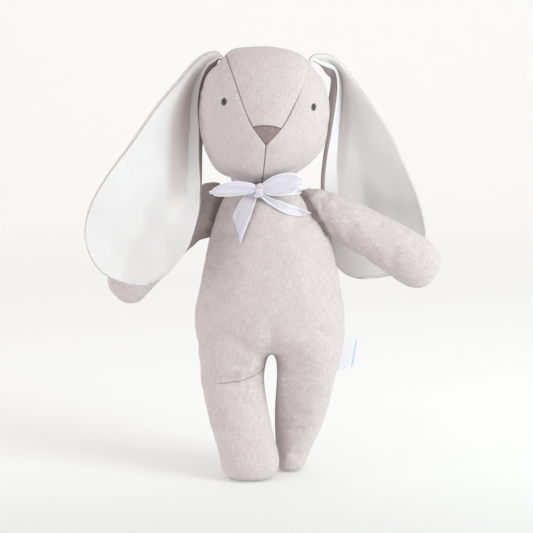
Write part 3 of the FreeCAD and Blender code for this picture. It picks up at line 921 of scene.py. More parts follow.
def side_seam(points):
    """How far behind the side seams a point lies: they run from the hips to the soles' middles."""
    foot = np.where(on_left(points), FOOT_FORWARD["left"], FOOT_FORWARD["right"])
    return points[:, 1] - foot * np.clip(1 - points[:, 2] / HIP_LEVEL, 0, 1)


def body_seams():
    nothing = lambda p: np.zeros(len(p))
    aside = lambda p: smoothstep(-44 * MM, -30 * MM, p[:, 0]) * smoothstep(3.4 * MM, 0, p[:, 0])
    folded = lambda p: aside(p) * smoothstep(-2 * MM, -8 * MM, p[:, 1])
    behind = lambda p: smoothstep(1 * MM, 5 * MM, p[:, 1]) * smoothstep(96 * MM, 99 * MM, p[:, 2])
    return [
        Seam(side_seam, 1),
        Seam(lambda p: p[:, 0] - BACK_SEAM_SIDE, 0, behind),
        Seam(lambda p: p[:, 2] - SPLIT_LEVEL, 2, nothing),
        Seam(lambda p: p[:, 2] - line_at(HIP_FOLD, p[:, 0]), 2, folded, 0.1 * MM, 1.3 * MM, HIP_FOLD_THREAD_AND_SHADE),
    ]


def body_panel(p):
    x, _, z = p.T
    front = side_seam(p) < 0
    leg = np.where(
        on_left(p),
        np.where(front, "leg_left_front", "leg_left_back"),
        np.where(front, "leg_right_front", "leg_right_back"),
    )
    rear = np.where(x > BACK_SEAM_SIDE, "torso_back_left", "torso_back_right")
    return np.where(z < SPLIT_LEVEL, leg, np.where(front, "torso_front", rear))


def pressed(thing, line, depth, width, lip):
    """Pushes a fold into the front of a form, along a line given as side and level."""
    points, normals = vertex_values(thing.data), vertex_values(thing.data, "normal")
    route = evenly(line, 12) * MM
    flat = points[:, [0, 2]]
    away = np.linalg.norm(flat[:, None, :] - route[None, :, :], axis=2)
    nearest = away.argmin(axis=1)
    distance = away.min(axis=1)
    fade = np.sin(np.pi * np.clip((nearest + 1) / (len(route) + 1), 0, 1)) ** 0.6
    above = flat[:, 1] > route[nearest, 1]
    shape = -depth * np.exp(-((distance / width) ** 2))
    past = (distance - LIP_PLACE * width) / (LIP_WIDTH * width)
    shape += np.where(above, lip, lip * LOWER_LIP) * np.exp(-(past**2))
    shape *= fade * (normals[:, 1] < -0.1)
    points += normals * shape[:, None]
    points[:, 2] = np.maximum(points[:, 2], SOLE_LEVEL)
    move_to(thing, points)


def make_body():
    forms = [upright_rings(rows) for rows in (TORSO, LEG_LEFT, LEG_RIGHT)]
    thing = skinned("body_skin", forms, BODY_VOXEL, smooth=8)
    side, _, level = vertex_values(thing.data).T
    neck = smoothstep(228 * MM, 236 * MM, level)
    soles = smoothstep(7 * MM, 2 * MM, level)
    between = smoothstep(13 * MM, 6 * MM, np.abs(side - CROTCH_SIDE)) * (level < HIP_LEVEL + 20 * MM)
    seams = body_seams()
    stuffed(thing, seams[:2], BODY_HOLD, [neck, soles, between], BODY_PRESSURE, BODY_CAP)
    refined(thing)
    for line, *sizes in CREASES:
        pressed(thing, line, *(size * MM for size in sizes))
    surface = surface_of(thing)
    panels = sewn_panels(thing, seams, body_panel)
    everything = np.vstack([panel[0] for panel in panels.values()])
    cloth = laid_flat(everything, np.array((5 * MM, 0, 0)), (0, 0, 1), (0, -1, 0), (1, 0, 0))
    for name, panel in panels.items():
        own, cloth = np.split(cloth, [len(panel[0])])
        follows = {"body": "torso"}
        if name.startswith("leg"):
            limb = name.rsplit("_", 1)[0]
            hip = PIVOTS[f"{limb}_swing"].x
            follows = {"blend": ("torso", limb, (hip, 0, SPLIT_LEVEL), (hip, 0, LEG_BLEND_END))}
        panel_piece(name, panel, own, LINEN, BODY_FILL, one_form=True, **follows)
    return surface


body_surface = make_body()

# ---------------------------------------------------------------- arms

ARM_VOXEL = 2.8 * MM
# The arm's outline as seen from the front: points along its upper edge and its lower edge, and its
# half depth there. The first lies inside the torso, and the second is the armhole.
ARM_LEFT = [
    ((25.5, 229.5), (46, 194), 7.4), ((31, 234), (53, 197), 9.4), ((33.6, 235.0), (53.8, 196.4), 12.6),
    ((43, 235.6), (57.2, 194.6), 14.2), ((60, 230.8), (61, 191.6), 15.2), ((76, 224.4), (69, 187.0), 15.8),
    ((93, 215.6), (80.5, 179.8), 16.2), ((110, 207.4), (95, 169.8), 16.6),
    ((124, 199.6), (107.5, 161.0), 16.4), ((134.6, 192), (118.4, 155.2), 14.8),
    ((141.0, 184.4), (127.4, 154.4), 12.0), ((143.4, 177), (136, 159.8), 7.5),
    ((142.8, 172.6), (139.8, 165.6), 3.2),
]
ARM_RIGHT = [
    ((-29, 233), (-39, 194), 7.4), ((-35.5, 239), (-45.6, 195.5), 9.4), ((-38, 239.8), (-46.6, 195.0), 12.6),
    ((-47, 239), (-51, 192.6), 14.2), ((-60, 232.4), (-58.5, 187.4), 15.2),
    ((-74, 220), (-66.6, 179.6), 15.8), ((-91.5, 204.6), (-76.5, 169.0), 16.2),
    ((-106, 191.2), (-86, 158.5), 16.6), ((-117.5, 180.2), (-94.5, 149.0), 16.4),
    ((-126, 170.6), (-103, 141.4), 14.8), ((-128.2, 160.5), (-112, 140.8), 12.0),
    ((-126, 153.5), (-118.5, 144.6), 7.5), ((-124, 150), (-121, 147), 3.2),
]
ARM_SWELL = 1.0
ARM_HOLD = 2.4 * MM
ARM_PRESSURE = 3.2
ARM_CAP = 2.4 * MM
ARM_FILL = 0.8
ARM_BLEND = 20.0 * MM
GATHER_SEED = {"left": 5.0, "right": 9.0}
GATHER_SCALE = 170
GATHER_REACH = 9.0 * MM
GATHER_DEPTH = 2.0 * MM
# Painted shade on the cloth inside the armpit: how dark, and how far from the armhole that ends and starts.
ARM_ROOT_SHADE = {"left": (0.10, 22, 4), "right": (0.62, 34, 12)}
ARMHOLE_ROW = 1
STITCHES = 11
STITCH_REACH = 2.6 * MM
STITCH_THICK = 0.22 * MM
STITCH_FORWARD = 8.0 * MM
STITCH_SLANT = 0.7 * MM
STITCH_LIFT = 0.35 * MM
STITCH_SINK = 0.5 * MM
STITCH_BACK = 1.5 * MM
THREAD_AROUND = 6


def thread_points(line):
    """Points round a thread along a line, thinner at both ends."""
    line = np.array([tuple(p) for p in line])
    ahead = unit(np.gradient(line, axis=0))
    side = unit(np.cross(ahead, np.array((0.31, 0.2, 0.93))))
    up = np.cross(side, ahead)
    points = []
    for i, centre in enumerate(line):
        size = STITCH_THICK * (0.6 if i in (0, len(line) - 1) else 1)
        for turn in np.arange(THREAD_AROUND) * 2 * math.pi / THREAD_AROUND:
            points.append(centre + (side[i] * math.cos(turn) + up[i] * math.sin(turn)) * size)
    return points


def sew_armhole(side, top, bottom, out, arm_surface):
    """Ladder stitches across the armhole, front and back, each from the body to the arm."""
    points, faces = [], []
    for facing in (-1, 1):
        for number in range(STITCHES):
            spot = top.lerp(bottom, (number + 0.7) / (STITCHES + 0.4))
            slant = (bottom - top).normalized() * STITCH_SLANT * (1 if number % 2 else -1)
            level = Vector((0, PIVOTS[f"arm_{side}_raise"].y + facing * STITCH_FORWARD, 0))
            first, first_normal, _, _ = body_surface.find_nearest(spot - out * STITCH_BACK + level)
            last, last_normal, _, _ = arm_surface.find_nearest(spot + out * STITCH_REACH + slant + level)
            lifted = (first_normal + last_normal).normalized() * STITCH_LIFT
            line = [first.lerp(last, k / 6) + lifted * math.sin(math.pi * k / 6) for k in range(7)]
            line[0] = first - first_normal * STITCH_SINK
            line[-1] = last - last_normal * STITCH_SINK
            faces += tube_faces(len(line), THREAD_AROUND, len(points))
            points += thread_points(line)
    piece = build(f"arm_{side}_ladder_stitches", points, faces, STITCH_THREAD)
    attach(piece, "torso")


def seen(spot):
    """The point at a side and level, given in mm, on the plane between front and back."""
    return Vector((spot[0], 0, spot[1])) * MM


def make_arm(side, outline):
    pivot = PIVOTS[f"arm_{side}_raise"]
    middle = Vector((0, pivot.y, 0))
    rings = []
    for row in evenly([(*top, *bottom, depth) for top, bottom, depth in outline], 5):
        top, bottom = seen(row[:2]), seen(row[2:4])
        deep = Vector((0, max(1.6, row[4] - ARM_SWELL) * MM, 0))
        rings.append(((top + bottom) / 2 + middle, (top - bottom) / 2, deep, LIMB_POWER))
    thing = skinned(f"arm_{side}_skin", [rings], ARM_VOXEL, smooth=3)
    seams = [Seam(lambda p: p[:, 1] - pivot.y, 1, pucker=0.3 * MM)]
    top, bottom = (seen(spot) for spot in outline[ARMHOLE_ROW][:2])
    root = (top + bottom) / 2 + middle
    out = (bottom - top).cross(Vector((0, 1, 0))).normalized()
    if out.x * pivot.x < 0:
        out = -out
    beyond = lambda p: (p - np.array(root)) @ np.array(out)
    armhole = smoothstep(3 * MM, -1 * MM, beyond(vertex_values(thing.data)))
    stuffed(thing, seams, ARM_HOLD, [armhole], ARM_PRESSURE, ARM_CAP)
    refined(thing)
    points, normals = vertex_values(thing.data), vertex_values(thing.data, "normal")
    away = beyond(points)
    drawn = points - np.outer(away, np.array(out)) * 0.85
    gather = wobble(drawn, GATHER_SCALE, GATHER_SEED[side]) * np.exp(-((away / GATHER_REACH) ** 2))
    move_to(thing, points + normals * gather[:, None] * GATHER_DEPTH)
    surface = surface_of(thing)
    half = lambda p: np.where(p[:, 1] < pivot.y, f"arm_{side}_front", f"arm_{side}_back")
    along = (seen(outline[7][0]) - seen(outline[3][0])).normalized()
    across = along.cross(Vector((0, 1, 0)))
    dark, end, start = ARM_ROOT_SHADE[side]
    blend = ("torso", f"arm_{side}", root, root + out * ARM_BLEND)
    for name, (points, normals, faces, groove) in sewn_panels(thing, seams, half).items():
        cloth = laid_flat(points, np.array(root), tuple(along), (0, -1, 0), tuple(across))
        away = beyond(points)
        # Along the armhole the cloth is darkened: the joint's line, and painted shade in the gap between arm
        # and body.
        groove = np.maximum(groove, 0.6 * smoothstep(2.8 * MM, 0.4 * MM, away))
        # Painted shade at the arm's root.
        groove = np.maximum(groove, dark * smoothstep(end * MM, start * MM, away))
        panel_piece(name, (points, normals, faces, groove), cloth, LINEN, ARM_FILL, blend=blend)
    sew_armhole(side, top, bottom, out, surface)


make_arm("left", ARM_LEFT)
make_arm("right", ARM_RIGHT)

# ---------------------------------------------------------------- thin sheets: ears, ribbon and label


def facing_out(across, along):
    """A sheet's unit normals. Where its lines run nearly side by side they lean on their row's mean."""
    crossed = np.cross(unit(across), unit(along))
    return unit(crossed + 0.08 * crossed.mean(axis=1, keepdims=True))


def lengths(grid, axis):
    """How far along its own line, in one direction of a grid, each point lies."""
    steps = np.linalg.norm(np.diff(grid[..., :3], axis=axis), axis=2)
    return np.insert(np.cumsum(steps, axis=axis), 0, 0, axis=axis)


def slab(name, grid, thickness, material, selvage=0, shades=None):
    """A thin closed sheet round a grid of points, with rounded rims. Returns the piece and its flat
    width, length and area. With a selvage, its long edges' groove values are 1 over that width.
    shades are the groove values of its two faces, which carry painted shade."""
    rows, columns, _ = grid.shape
    along = np.gradient(grid, axis=0)
    across = np.gradient(grid, axis=1)
    normal = facing_out(across, along)
    u, v = lengths(grid, 1), lengths(grid, 0)
    from_edge = np.minimum(u, u[:, -1:] - u)
    rim = np.minimum(from_edge, np.minimum(v, v[-1:] - v))
    half = thickness / 2
    swell = half * np.sqrt(1 - (1 - np.clip(rim / half, 0, 1)) ** 2)
    front = grid + normal * swell[..., None]
    back = grid - normal * swell[..., None]
    inner = np.zeros((rows, columns), bool)
    inner[1:-1, 1:-1] = True
    front_index = np.arange(rows * columns).reshape(rows, columns)
    back_index = front_index.copy()
    back_index[inner] = rows * columns + np.arange(inner.sum())
    points = np.vstack([front.reshape(-1, 3), back[inner]])
    length = np.broadcast_to(v.mean(axis=1, keepdims=True), u.shape)
    flat = np.dstack([u - u[:, -1:] / 2, length, np.zeros(u.shape)])
    cloth = np.vstack([flat.reshape(-1, 3), flat[inner]])
    faces = []
    for i in range(rows - 1):
        for j in range(columns - 1):
            corners = ((i, j), (i, j + 1), (i + 1, j + 1), (i + 1, j))
            faces.append(tuple(int(front_index[c]) for c in corners))
            faces.append(tuple(int(back_index[c]) for c in reversed(corners)))
    if selvage:
        shades = (np.clip(1.4 - from_edge / selvage, 0, 1),) * 2
    groove = np.concatenate([shades[0].ravel(), shades[1][inner]]) if shades else None
    piece = build(name, points, faces, material, cloth, groove)
    cells = np.linalg.norm(np.cross(across, along), axis=2)
    return piece, (float(u[:, -1].max()), float(v[-1].mean()), float(cells[:-1, :-1].sum()))


def sheet_between(first, second, across_count, along_count):
    """A flat grid between two edges, each a list of sides and levels in mm."""
    places = np.linspace(0, len(first) - 1, along_count)
    a, b = through(first, places), through(second, places)
    share = edgewise(across_count)[None, :, None]
    return (a[:, None, :] * (1 - share) + b[:, None, :] * share) * MM


def laid_again(line, places, wanted):
    """A line of points given at their places along it, at other places."""
    return np.column_stack([np.interp(wanted, places, part) for part in line.T])


EAR_CLOTH = 1.1 * MM
LINING_CLOTH = 0.8 * MM
# One row from root to tip: the outer edge's side and level, the inner edge's side and level, then
# the gutter's distance from the inner edge, its depth, how far its inner wing rises again, the width
# of the linen margin that rolls back along the inner edge, and the margin along the outer edge.
EAR_LEFT = [
    (35.5, 338.6, 36.5, 336.0, 1.2, 1.0, 0.5, 0.6, 0.4),
    (39.0, 342.3, 39.5, 337.0, 2.2, 2.0, 1.5, 1.0, 0.6),
    (45.0, 343.4, 45.0, 333.6, 3.8, 4.0, 3.0, 1.6, 0.8),
    (51.5, 342.6, 50.0, 327.0, 9.4, 6.5, 4.5, 7.0, 0.9),
    (58.5, 339.0, 53.8, 323.4, 12.0, 9.5, 6.0, 8.6, 0.9),
    (66.0, 331.0, 53.8, 317.6, 12.6, 12.0, 7.0, 7.6, 0.9),
    (79.0, 314.0, 51.8, 304.0, 12.2, 13.5, 7.5, 6.2, 0.8),
    (92.0, 294.5, 51.6, 291.0, 10.0, 13.0, 7.0, 3.8, 0.7),
    (103.0, 277.0, 50.2, 277.0, 9.6, 11.0, 6.0, 2.8, 0.6),
    (112.2, 256.5, 47.2, 258.0, 11.2, 8.0, 4.6, 2.4, 0.5),
    (120.4, 238.0, 45.6, 239.0, 13.0, 5.0, 3.0, 2.2, 0.4),
    (127.4, 218.0, 47.2, 220.0, 15.0, 2.6, 1.6, 1.4, 0.3),
    (131.2, 200.0, 51.4, 201.0, 16.0, 1.0, 0.6, 0.6, 0.3),
    (129.4, 185.0, 55.4, 186.0, 16.0, 0.0, 0.0, 0.3, 0.3),
    (122.0, 173.4, 58.0, 174.6, 14.0, 0.0, 0.0, 0.3, 0.3),
    (110.6, 166.4, 64.6, 167.4, 10.0, 0.0, 0.0, 0.3, 0.3),
    (97.0, 163.2, 74.0, 163.2, 6.0, 0.0, 0.0, 0.3, 0.3),
    (89.0, 162.4, 82.0, 162.2, 2.0, 0.0, 0.0, 0.3, 0.3),
]
EAR_RIGHT = [
    (-32.5, 340.0, -33.5, 337.0, 1.2, 1.0, 0.5, 0.6, 0.6),
    (-36.5, 344.6, -36.0, 338.0, 2.2, 2.0, 1.5, 1.0, 1.0),
    (-42.5, 345.0, -38.8, 333.2, 5.8, 4.0, 3.0, 3.6, 1.4),
    (-49.5, 342.4, -41.8, 327.8, 9.4, 6.5, 4.5, 6.4, 2.2),
    (-58.0, 335.4, -45.4, 319.4, 11.2, 9.5, 4.4, 7.0, 2.4),
    (-69.0, 322.5, -47.6, 309.0, 12.2, 12.5, 4.0, 6.8, 2.4),
    (-84.0, 304.6, -48.6, 297.5, 11.8, 14.0, 3.6, 6.0, 2.2),
    (-97.0, 286.5, -49.0, 284.0, 11.8, 13.5, 3.4, 4.6, 2.0),
    (-109.0, 269.0, -50.2, 268.0, 11.6, 12.0, 3.2, 3.0, 1.8),
    (-121.6, 252.0, -50.4, 251.0, 12.0, 9.5, 2.8, 2.2, 1.4),
    (-132.4, 235.0, -50.4, 235.0, 12.4, 5.0, 3.0, 1.6, 0.8),
    (-140.4, 218.0, -52.0, 219.0, 14.0, 2.6, 1.6, 0.9, 0.5),
    (-143.8, 201.0, -56.0, 203.0, 16.0, 1.0, 0.6, 0.4, 0.3),
    (-141.2, 184.0, -61.2, 188.0, 16.0, 0.0, 0.0, 0.3, 0.3),
    (-134.4, 171.0, -69.0, 177.0, 14.0, 0.0, 0.0, 0.3, 0.3),
    (-124.0, 162.4, -78.0, 166.4, 10.0, 0.0, 0.0, 0.3, 0.3),
    (-110.6, 157.4, -89.0, 159.2, 6.0, 0.0, 0.0, 0.3, 0.3),
    (-103.0, 156.2, -96.0, 156.6, 2.0, 0.0, 0.0, 0.3, 0.3),
]
# Soft folds in each ear: two points of the line, as side and level, the slope beyond it and its width.
EAR_FOLDS = {
    "left": [((73, 290), (84.5, 214), -0.34, 1.8)],
    "right": [((-88, 232), (-114, 166), -0.32, 1.1)],
}
# Painted shade on the lining: in the gutter, how wide, the levels where it starts and
# is full, and how strongly; and all over, the levels where that starts and is full, and how strongly.
EAR_SHADES = {
    "left": ((11, 230, 275, 0.20), (290, 190, 0.14)),
    "right": ((19, 216, 240, 0.36), (226, 150, 0.03)),
}
EAR_SHADE_TOP = 326.0 * MM
EAR_SHADE_SPREADS = (330.0 * MM, 285.0 * MM)
EAR_SHADE_ROOT = 0.35
# Painted shade on the linen that rolls back along the inner edge, in the shadow beside the head:
# how dark, and the levels where that starts and is full.
EAR_CUFF_SHADE = {"left": (0.55, 190, 255), "right": (0.80, 190, 250)}
EAR_ACROSS = 73
EAR_ALONG = 96
EAR_LEAN = {"left": math.tan(math.radians(13)), "right": math.tan(math.radians(10))}
EAR_FACE = 3.2 * MM
EAR_FLAP = 6.0 * MM
EAR_TIP_MARGIN = 0.4 * MM
EAR_BLEND = (1.0 * MM, 36.0 * MM)
EAR_BLEND_DOWN = 0.45
EAR_CURL = 2.4 * MM
EAR_WAVES = 6.0 * MM
EAR_RIPPLES = 1.8 * MM
LINING_LIFT = 0.82
# The camera's side and level, from which the ears' tables give what is seen.
SEEN_FROM = np.array((LOOK_AT.x, LOOK_AT.z + CAMERA_DISTANCE * math.sin(CAMERA_RISE)))


def folded_over(points, first, last, slope, soft):
    """How far the cloth turns away on the left of a line from first to last, seen from the front."""
    first, last = np.array(first) * MM, np.array(last) * MM
    across = np.array((last[1] - first[1], first[0] - last[0]))
    past = (points[..., [0, 2]] - first) @ (across / np.linalg.norm(across))
    soft *= MM
    return slope * soft * np.logaddexp(0, past / soft)


def ear_shades(side, share, level, gutter, crest, total):
    """The lining's painted shade, and the painted shade on the linen that rolls back along the inner edge.
    """
    (width, start, full, strong), (high, low, all_over) = EAR_SHADES[side]
    outward = (1 - share / gutter) * gutter * total
    wide = width * MM * (EAR_SHADE_ROOT + (1 - EAR_SHADE_ROOT) * smoothstep(*EAR_SHADE_SPREADS, level))
    shade = (1 - smoothstep(0.6, 1.0, outward / wide)) * (outward > -0.4 * MM) * strong
    shade *= smoothstep(start * MM, full * MM, level)
    shade *= smoothstep(EAR_SHADE_TOP + 8 * MM, EAR_SHADE_TOP, level)
    broad = smoothstep(high * MM, low * MM, level) * smoothstep(0, 0.55, share) * all_over
    dark, fading, fully = EAR_CUFF_SHADE[side]
    cuff = smoothstep(crest - 0.03, crest + 0.01, share) * dark * smoothstep(fading * MM, fully * MM, level)
    return np.maximum(shade, broad), cuff


def ear_grid(side, rows, seed):
    """The ear's middle sheet, a gutter at its root that opens out lower down, its table and its
    two painted shades."""
    pivot = PIVOTS[f"ear_{side}_lift"]
    places = (1 - (1 - np.linspace(0, 1, EAR_ALONG)) ** 1.35) * (len(rows) - 1)
    table = through(rows, places) * MM
    outer, inner = table[:, None, 0:2], table[:, None, 2:4]
    total = np.linalg.norm(outer - inner, axis=2)
    valley_place, depth, wing, margin = table[:, 4:8].T[..., None]
    gutter = np.clip(1 - valley_place / total, 0.35, 0.92)
    crest = np.clip(1 - margin / total, gutter + 0.03, 0.995)
    share = edgewise(EAR_ACROSS)[None, :]
    flat = outer * (1 - share)[..., None] + inner * share[..., None]
    level = flat[..., 1]
    down = np.clip(share / gutter, 0, 1)
    up = np.clip((share - gutter) / (crest - gutter), 0, 1)
    over = np.clip((share - crest) / (1 - crest), 0, 1)
    below = lambda first, last: smoothstep(pivot.z - first * MM, pivot.z - last * MM, level)
    open_flap = below(12, 50) * smoothstep(175 * MM, 235 * MM, level)
    valley = depth * down**3.2 - EAR_FLAP * open_flap * (1 - down) ** 1.4
    valley += margin * 0.8 * over**1.6 - wing * up**0.9
    rest = (1 if side == "left" else -1) * (EAR_FACE + (pivot.z - level) * EAR_LEAN[side])
    flat = SEEN_FROM + (flat - SEEN_FROM) * (1 + rest / CAMERA_DISTANCE)[..., None]
    tip = smoothstep(0.92, 1, places / (len(rows) - 1))[:, None]
    curl = -EAR_CURL * below(60, 150) * np.maximum((2 * share - 1) ** 4, tip)
    points = np.dstack([flat[..., 0], rest + valley + curl, flat[..., 1]])
    spots = (points * (1, 0, 1)).reshape(-1, 3)
    folds = wobble(spots, 17, seed) * EAR_WAVES + wobble(spots, 46, seed + 1.5) * EAR_RIPPLES
    points[..., 1] += below(30, 120) * folds.reshape(level.shape)
    for first, last, slope, soft in EAR_FOLDS[side]:
        points[..., 1] += folded_over(points, first, last, slope, soft)
    return points, table, ear_shades(side, share, level, gutter, crest, total)


def make_ear(side, rows, seed):
    grid, table, (shade, cuff) = ear_grid(side, rows, seed)
    # The rolled-back linen's painted shade goes on its forward face only.
    cuffs = (cuff, cuff * 0) if side == "left" else (cuff * 0, cuff)
    outer, (width, length, area) = slab(f"ear_{side}_linen", grid, EAR_CLOTH, LINEN, shades=cuffs)
    normal = facing_out(np.gradient(grid, axis=1), np.gradient(grid, axis=0))
    if normal[..., 1].mean() > 0:
        normal = -normal
    u = lengths(grid, 1)
    grid = np.dstack([grid + normal * EAR_CLOTH * LINING_LIFT, shade])
    lining = []
    for row, line, places in zip(table, grid, u):
        outer_rim, inner_rim = min(row[8], places[-1] * 0.12), min(row[7] * 1.15, places[-1] * 0.4)
        wanted = outer_rim + edgewise(EAR_ACROSS) * (places[-1] - outer_rim - inner_rim)
        lining.append(laid_again(line, places, wanted))
    lining = np.array(lining)
    run = lengths(lining, 0)[:, EAR_ACROSS // 2]
    wanted = edgewise(EAR_ALONG) * (run[-1] - EAR_TIP_MARGIN)
    trimmed = np.stack([laid_again(line, run, wanted) for line in lining.swapaxes(0, 1)], axis=1)
    # The lining's painted shade goes on both its faces.
    shades = (trimmed[..., 3],) * 2
    inner, sizes = slab(f"ear_{side}_white", trimmed[..., :3], LINING_CLOTH, LINING, shades=shades)
    away = 1 if side == "left" else -1
    near, far = EAR_BLEND
    pivot = PIVOTS[f"ear_{side}_lift"]
    end = pivot + Vector((away * far, 0, -far * EAR_BLEND_DOWN))
    blend = ("head", f"ear_{side}", pivot + Vector((away * near, 0, 0)), end)
    finished(outer, f"ear_{side}_outer", blend=blend)
    finished(inner, f"ear_{side}_lining", blend=blend)


make_ear("left", EAR_LEFT, 3.0)
make_ear("right", EAR_RIGHT, 8.0)

# ---------------------------------------------------------------- ribbon

RIBBON_CLOTH = 0.45 * MM
RIBBON_SELVAGE = 0.8 * MM
RIBBON_WIDTH = 14.0 * MM
RIBBON_ACROSS = 17
BAND_LOW, BAND_HIGH = node_box("ribbon_neck_band")
BAND_ROWS = 90
BAND_OPEN = 0.10
BAND_TOP = 240.5 * MM
BAND_TALL = 9.4 * MM
BAND_TALLER = 3.0 * MM
# How far the band lies above its node's middle, and how much more on the right; how far it stands
# off the cloth, and how much more on the right.
BAND_RISE = (1.6 * MM, 5.6 * MM)
BAND_OFF = (1.3 * MM, 3.6 * MM)
BAND_FOLD = 0.7 * MM
BAND_RIPPLE = 0.4 * MM
KNOT_LOW, KNOT_HIGH = node_box("ribbon_knot")
KNOT = Vector((KNOT_LOW + KNOT_HIGH) / 2) + Vector((-1.4, -0.4, 2.6)) * MM
KNOT_ROWS = 26
KNOT_AROUND = 56
KNOT_POWER = 3.2
KNOT_SIZE = (0.86, 0.95, 0.98)
KNOT_LEAN = 0.16
# The knot's folds: how deep, how often from below to above and how often round it.
KNOT_FOLDS = [(0.13, 6.6, 2), (0.08, 9, -3), (0.05, 15, 1)]
LOOP_BACK_SIZE = 0.86
LOOP_ROUND = 1.7 * MM
LOOP_RIPPLE = 0.7 * MM
TAIL_ROWS = 34
TAIL_BOW = 1.1 * MM
TAIL_RIPPLE = 0.5 * MM
CHEST_SIDE = -18.0 * MM
# Edges as seen from the front, from the knot outwards: side and level.
LOOP_RIGHT_UPPER = [
    (-5.4, 239.4), (-10.0, 241.8), (-20.6, 243.2), (-30.6, 242.2), (-38.4, 238.4), (-41.4, 235.6),
]
LOOP_RIGHT_LOWER = [
    (-5.6, 235.6), (-10.6, 233.4), (-18.3, 232.0), (-29.0, 231.2), (-37.4, 231.4), (-40.8, 233.2),
]
LOOP_LEFT_UPPER = [(-3.4, 239.6), (1.4, 243.6), (7.6, 247.4), (16.0, 249.8), (24.0, 249.6), (28.0, 247.0)]
LOOP_LEFT_LOWER = [(-3.2, 234.6), (2.4, 232.4), (9.6, 231.6), (18.0, 232.2), (24.6, 234.6), (28.2, 238.6)]
TAIL_RIGHT_OUTER = [(-7.4, 236.6), (-10.4, 234.6), (-16.0, 231.0), (-21.4, 222.6), (-25.4, 214.0)]
TAIL_RIGHT_INNER = [(-4.4, 234.6), (-5.6, 229.6), (-9.6, 217.6), (-14.0, 206.0), (-19.0, 192.8)]
TAIL_LEFT_UPPER = [(-2.6, 235.0), (5.0, 230.2), (15.8, 226.2), (27.0, 221.4), (38.2, 216.8)]
TAIL_LEFT_LOWER = [(-3.4, 231.6), (2.6, 226.0), (12.6, 219.6), (22.6, 215.6), (32.0, 214.0)]


def ribbon_piece(name, node, grid):
    piece, (width, length, area) = slab(name, grid, RIBBON_CLOTH, RIBBON, RIBBON_SELVAGE)
    finished(piece, node, body="torso")
    width = max(width, RIBBON_WIDTH)
    area = min(area, width * length)


def make_band():
    """The ribbon round the neck, which follows the body's surface and is gathered lengthwise."""
    middle = Vector((BAND_HIGH + BAND_LOW) / 2)
    rows = []
    for turn in np.linspace(BAND_OPEN, 2 * math.pi - BAND_OPEN, BAND_ROWS) - math.pi / 2:
        out = Vector((math.cos(turn), math.sin(turn), 0))
        front = max(0, -out.y) ** 3
        aside = max(0, -out.x) ** 1.2
        tall = BAND_TALL + BAND_TALLER * (aside - front)
        rise = BAND_RISE[0] * (1 - front) + BAND_RISE[1] * aside
        row = []
        for s in edgewise(RIBBON_ACROSS + 8):
            fold = BAND_FOLD * math.sin(s * 9.5 + 1.3 * math.sin(turn * 2.0)) * math.sin(math.pi * s)
            fold += BAND_RIPPLE * math.sin(s * 21 + turn * 2.6)
            level = middle.z + rise + (s - 0.45) * tall
            axis = Vector((middle.x, middle.y, min(level, BAND_TOP)))
            hit, _, _, _ = body_surface.ray_cast(axis + out * 0.2, -out)
            spot = axis + out * ((hit - axis).length + BAND_OFF[0] + BAND_OFF[1] * aside + fold)
            row.append((spot.x, spot.y, level))
        rows.append(row)
    ribbon_piece("ribbon_band", "ribbon_neck_band", np.array(rows))


def loop_grid(upper, lower, front, thick, rows):
    """A bow's loop: out along its front leaf, round its end and back behind, as a flattened tube.
    upper and lower are the leaf's edges as seen from the front, from the knot to the loop's end."""
    flat = sheet_between(upper, lower, RIBBON_ACROSS, rows)
    share, span = edgewise(RIBBON_ACROSS)[None, :], np.linspace(0, 1, rows)[:, None]
    bow = thick * np.sin(math.pi * span**0.8) ** 0.8
    crown = np.sin(math.pi * share) ** 0.8
    ripple = LOOP_RIPPLE * np.sin(share * 13 + span * 3) * (1 - span) ** 0.8
    leaf = np.dstack([flat[..., 0], front - bow * (0.55 + 0.45 * crown) + ripple, flat[..., 1]])
    centre = flat.mean(axis=1, keepdims=True)
    flat = centre + (flat - centre) * LOOP_BACK_SIZE
    behind = np.dstack([flat[..., 0], front + thick * 0.55 + bow * 0.35 - ripple, flat[..., 1]])
    turn = []
    for angle in np.linspace(0, math.pi, 9)[1:-1]:
        ring = leaf[-1] + (behind[-1] - leaf[-1]) * (1 - math.cos(angle)) / 2
        ring[:, 0] += math.copysign(LOOP_ROUND, upper[-1][0]) * math.sin(angle)
        turn.append(ring)
    return np.concatenate([leaf, turn, behind[::-1]])


def over_chest(side, level, lift):
    """How far forward a point lies that rests on the chest, or stands off its side."""
    hit, _, _, _ = body_surface.ray_cast(Vector((side, -1, level)), Vector((0, 1, 0)))
    return min(hit.y if hit else 0, CHEST_SIDE) - lift


def tail_grid(first, second, lift, twist):
    """A tail between two edges, from the knot down over the chest."""
    grid = []
    flat = sheet_between(first, second, RIBBON_ACROSS, TAIL_ROWS)
    for along, line in zip(np.linspace(0, 1, TAIL_ROWS), flat):
        from_knot = smoothstep(0.35, 0.0, along)
        row = []
        for s, (x, z) in zip(edgewise(RIBBON_ACROSS), line):
            y = over_chest(x, z, lift)
            y = y * (1 - from_knot) + min(y, KNOT.y - 0.5 * MM) * from_knot
            y -= TAIL_BOW * math.sin(math.pi * along)
            y -= twist * (s - 0.5) * math.sin(math.pi * along * 0.9 + 0.2)
            y -= TAIL_RIPPLE * math.sin(s * 7.0 + along * 2.2) * (1 - 0.5 * along)
            row.append((x, y, z))
        grid.append(row)
    return np.array(grid)


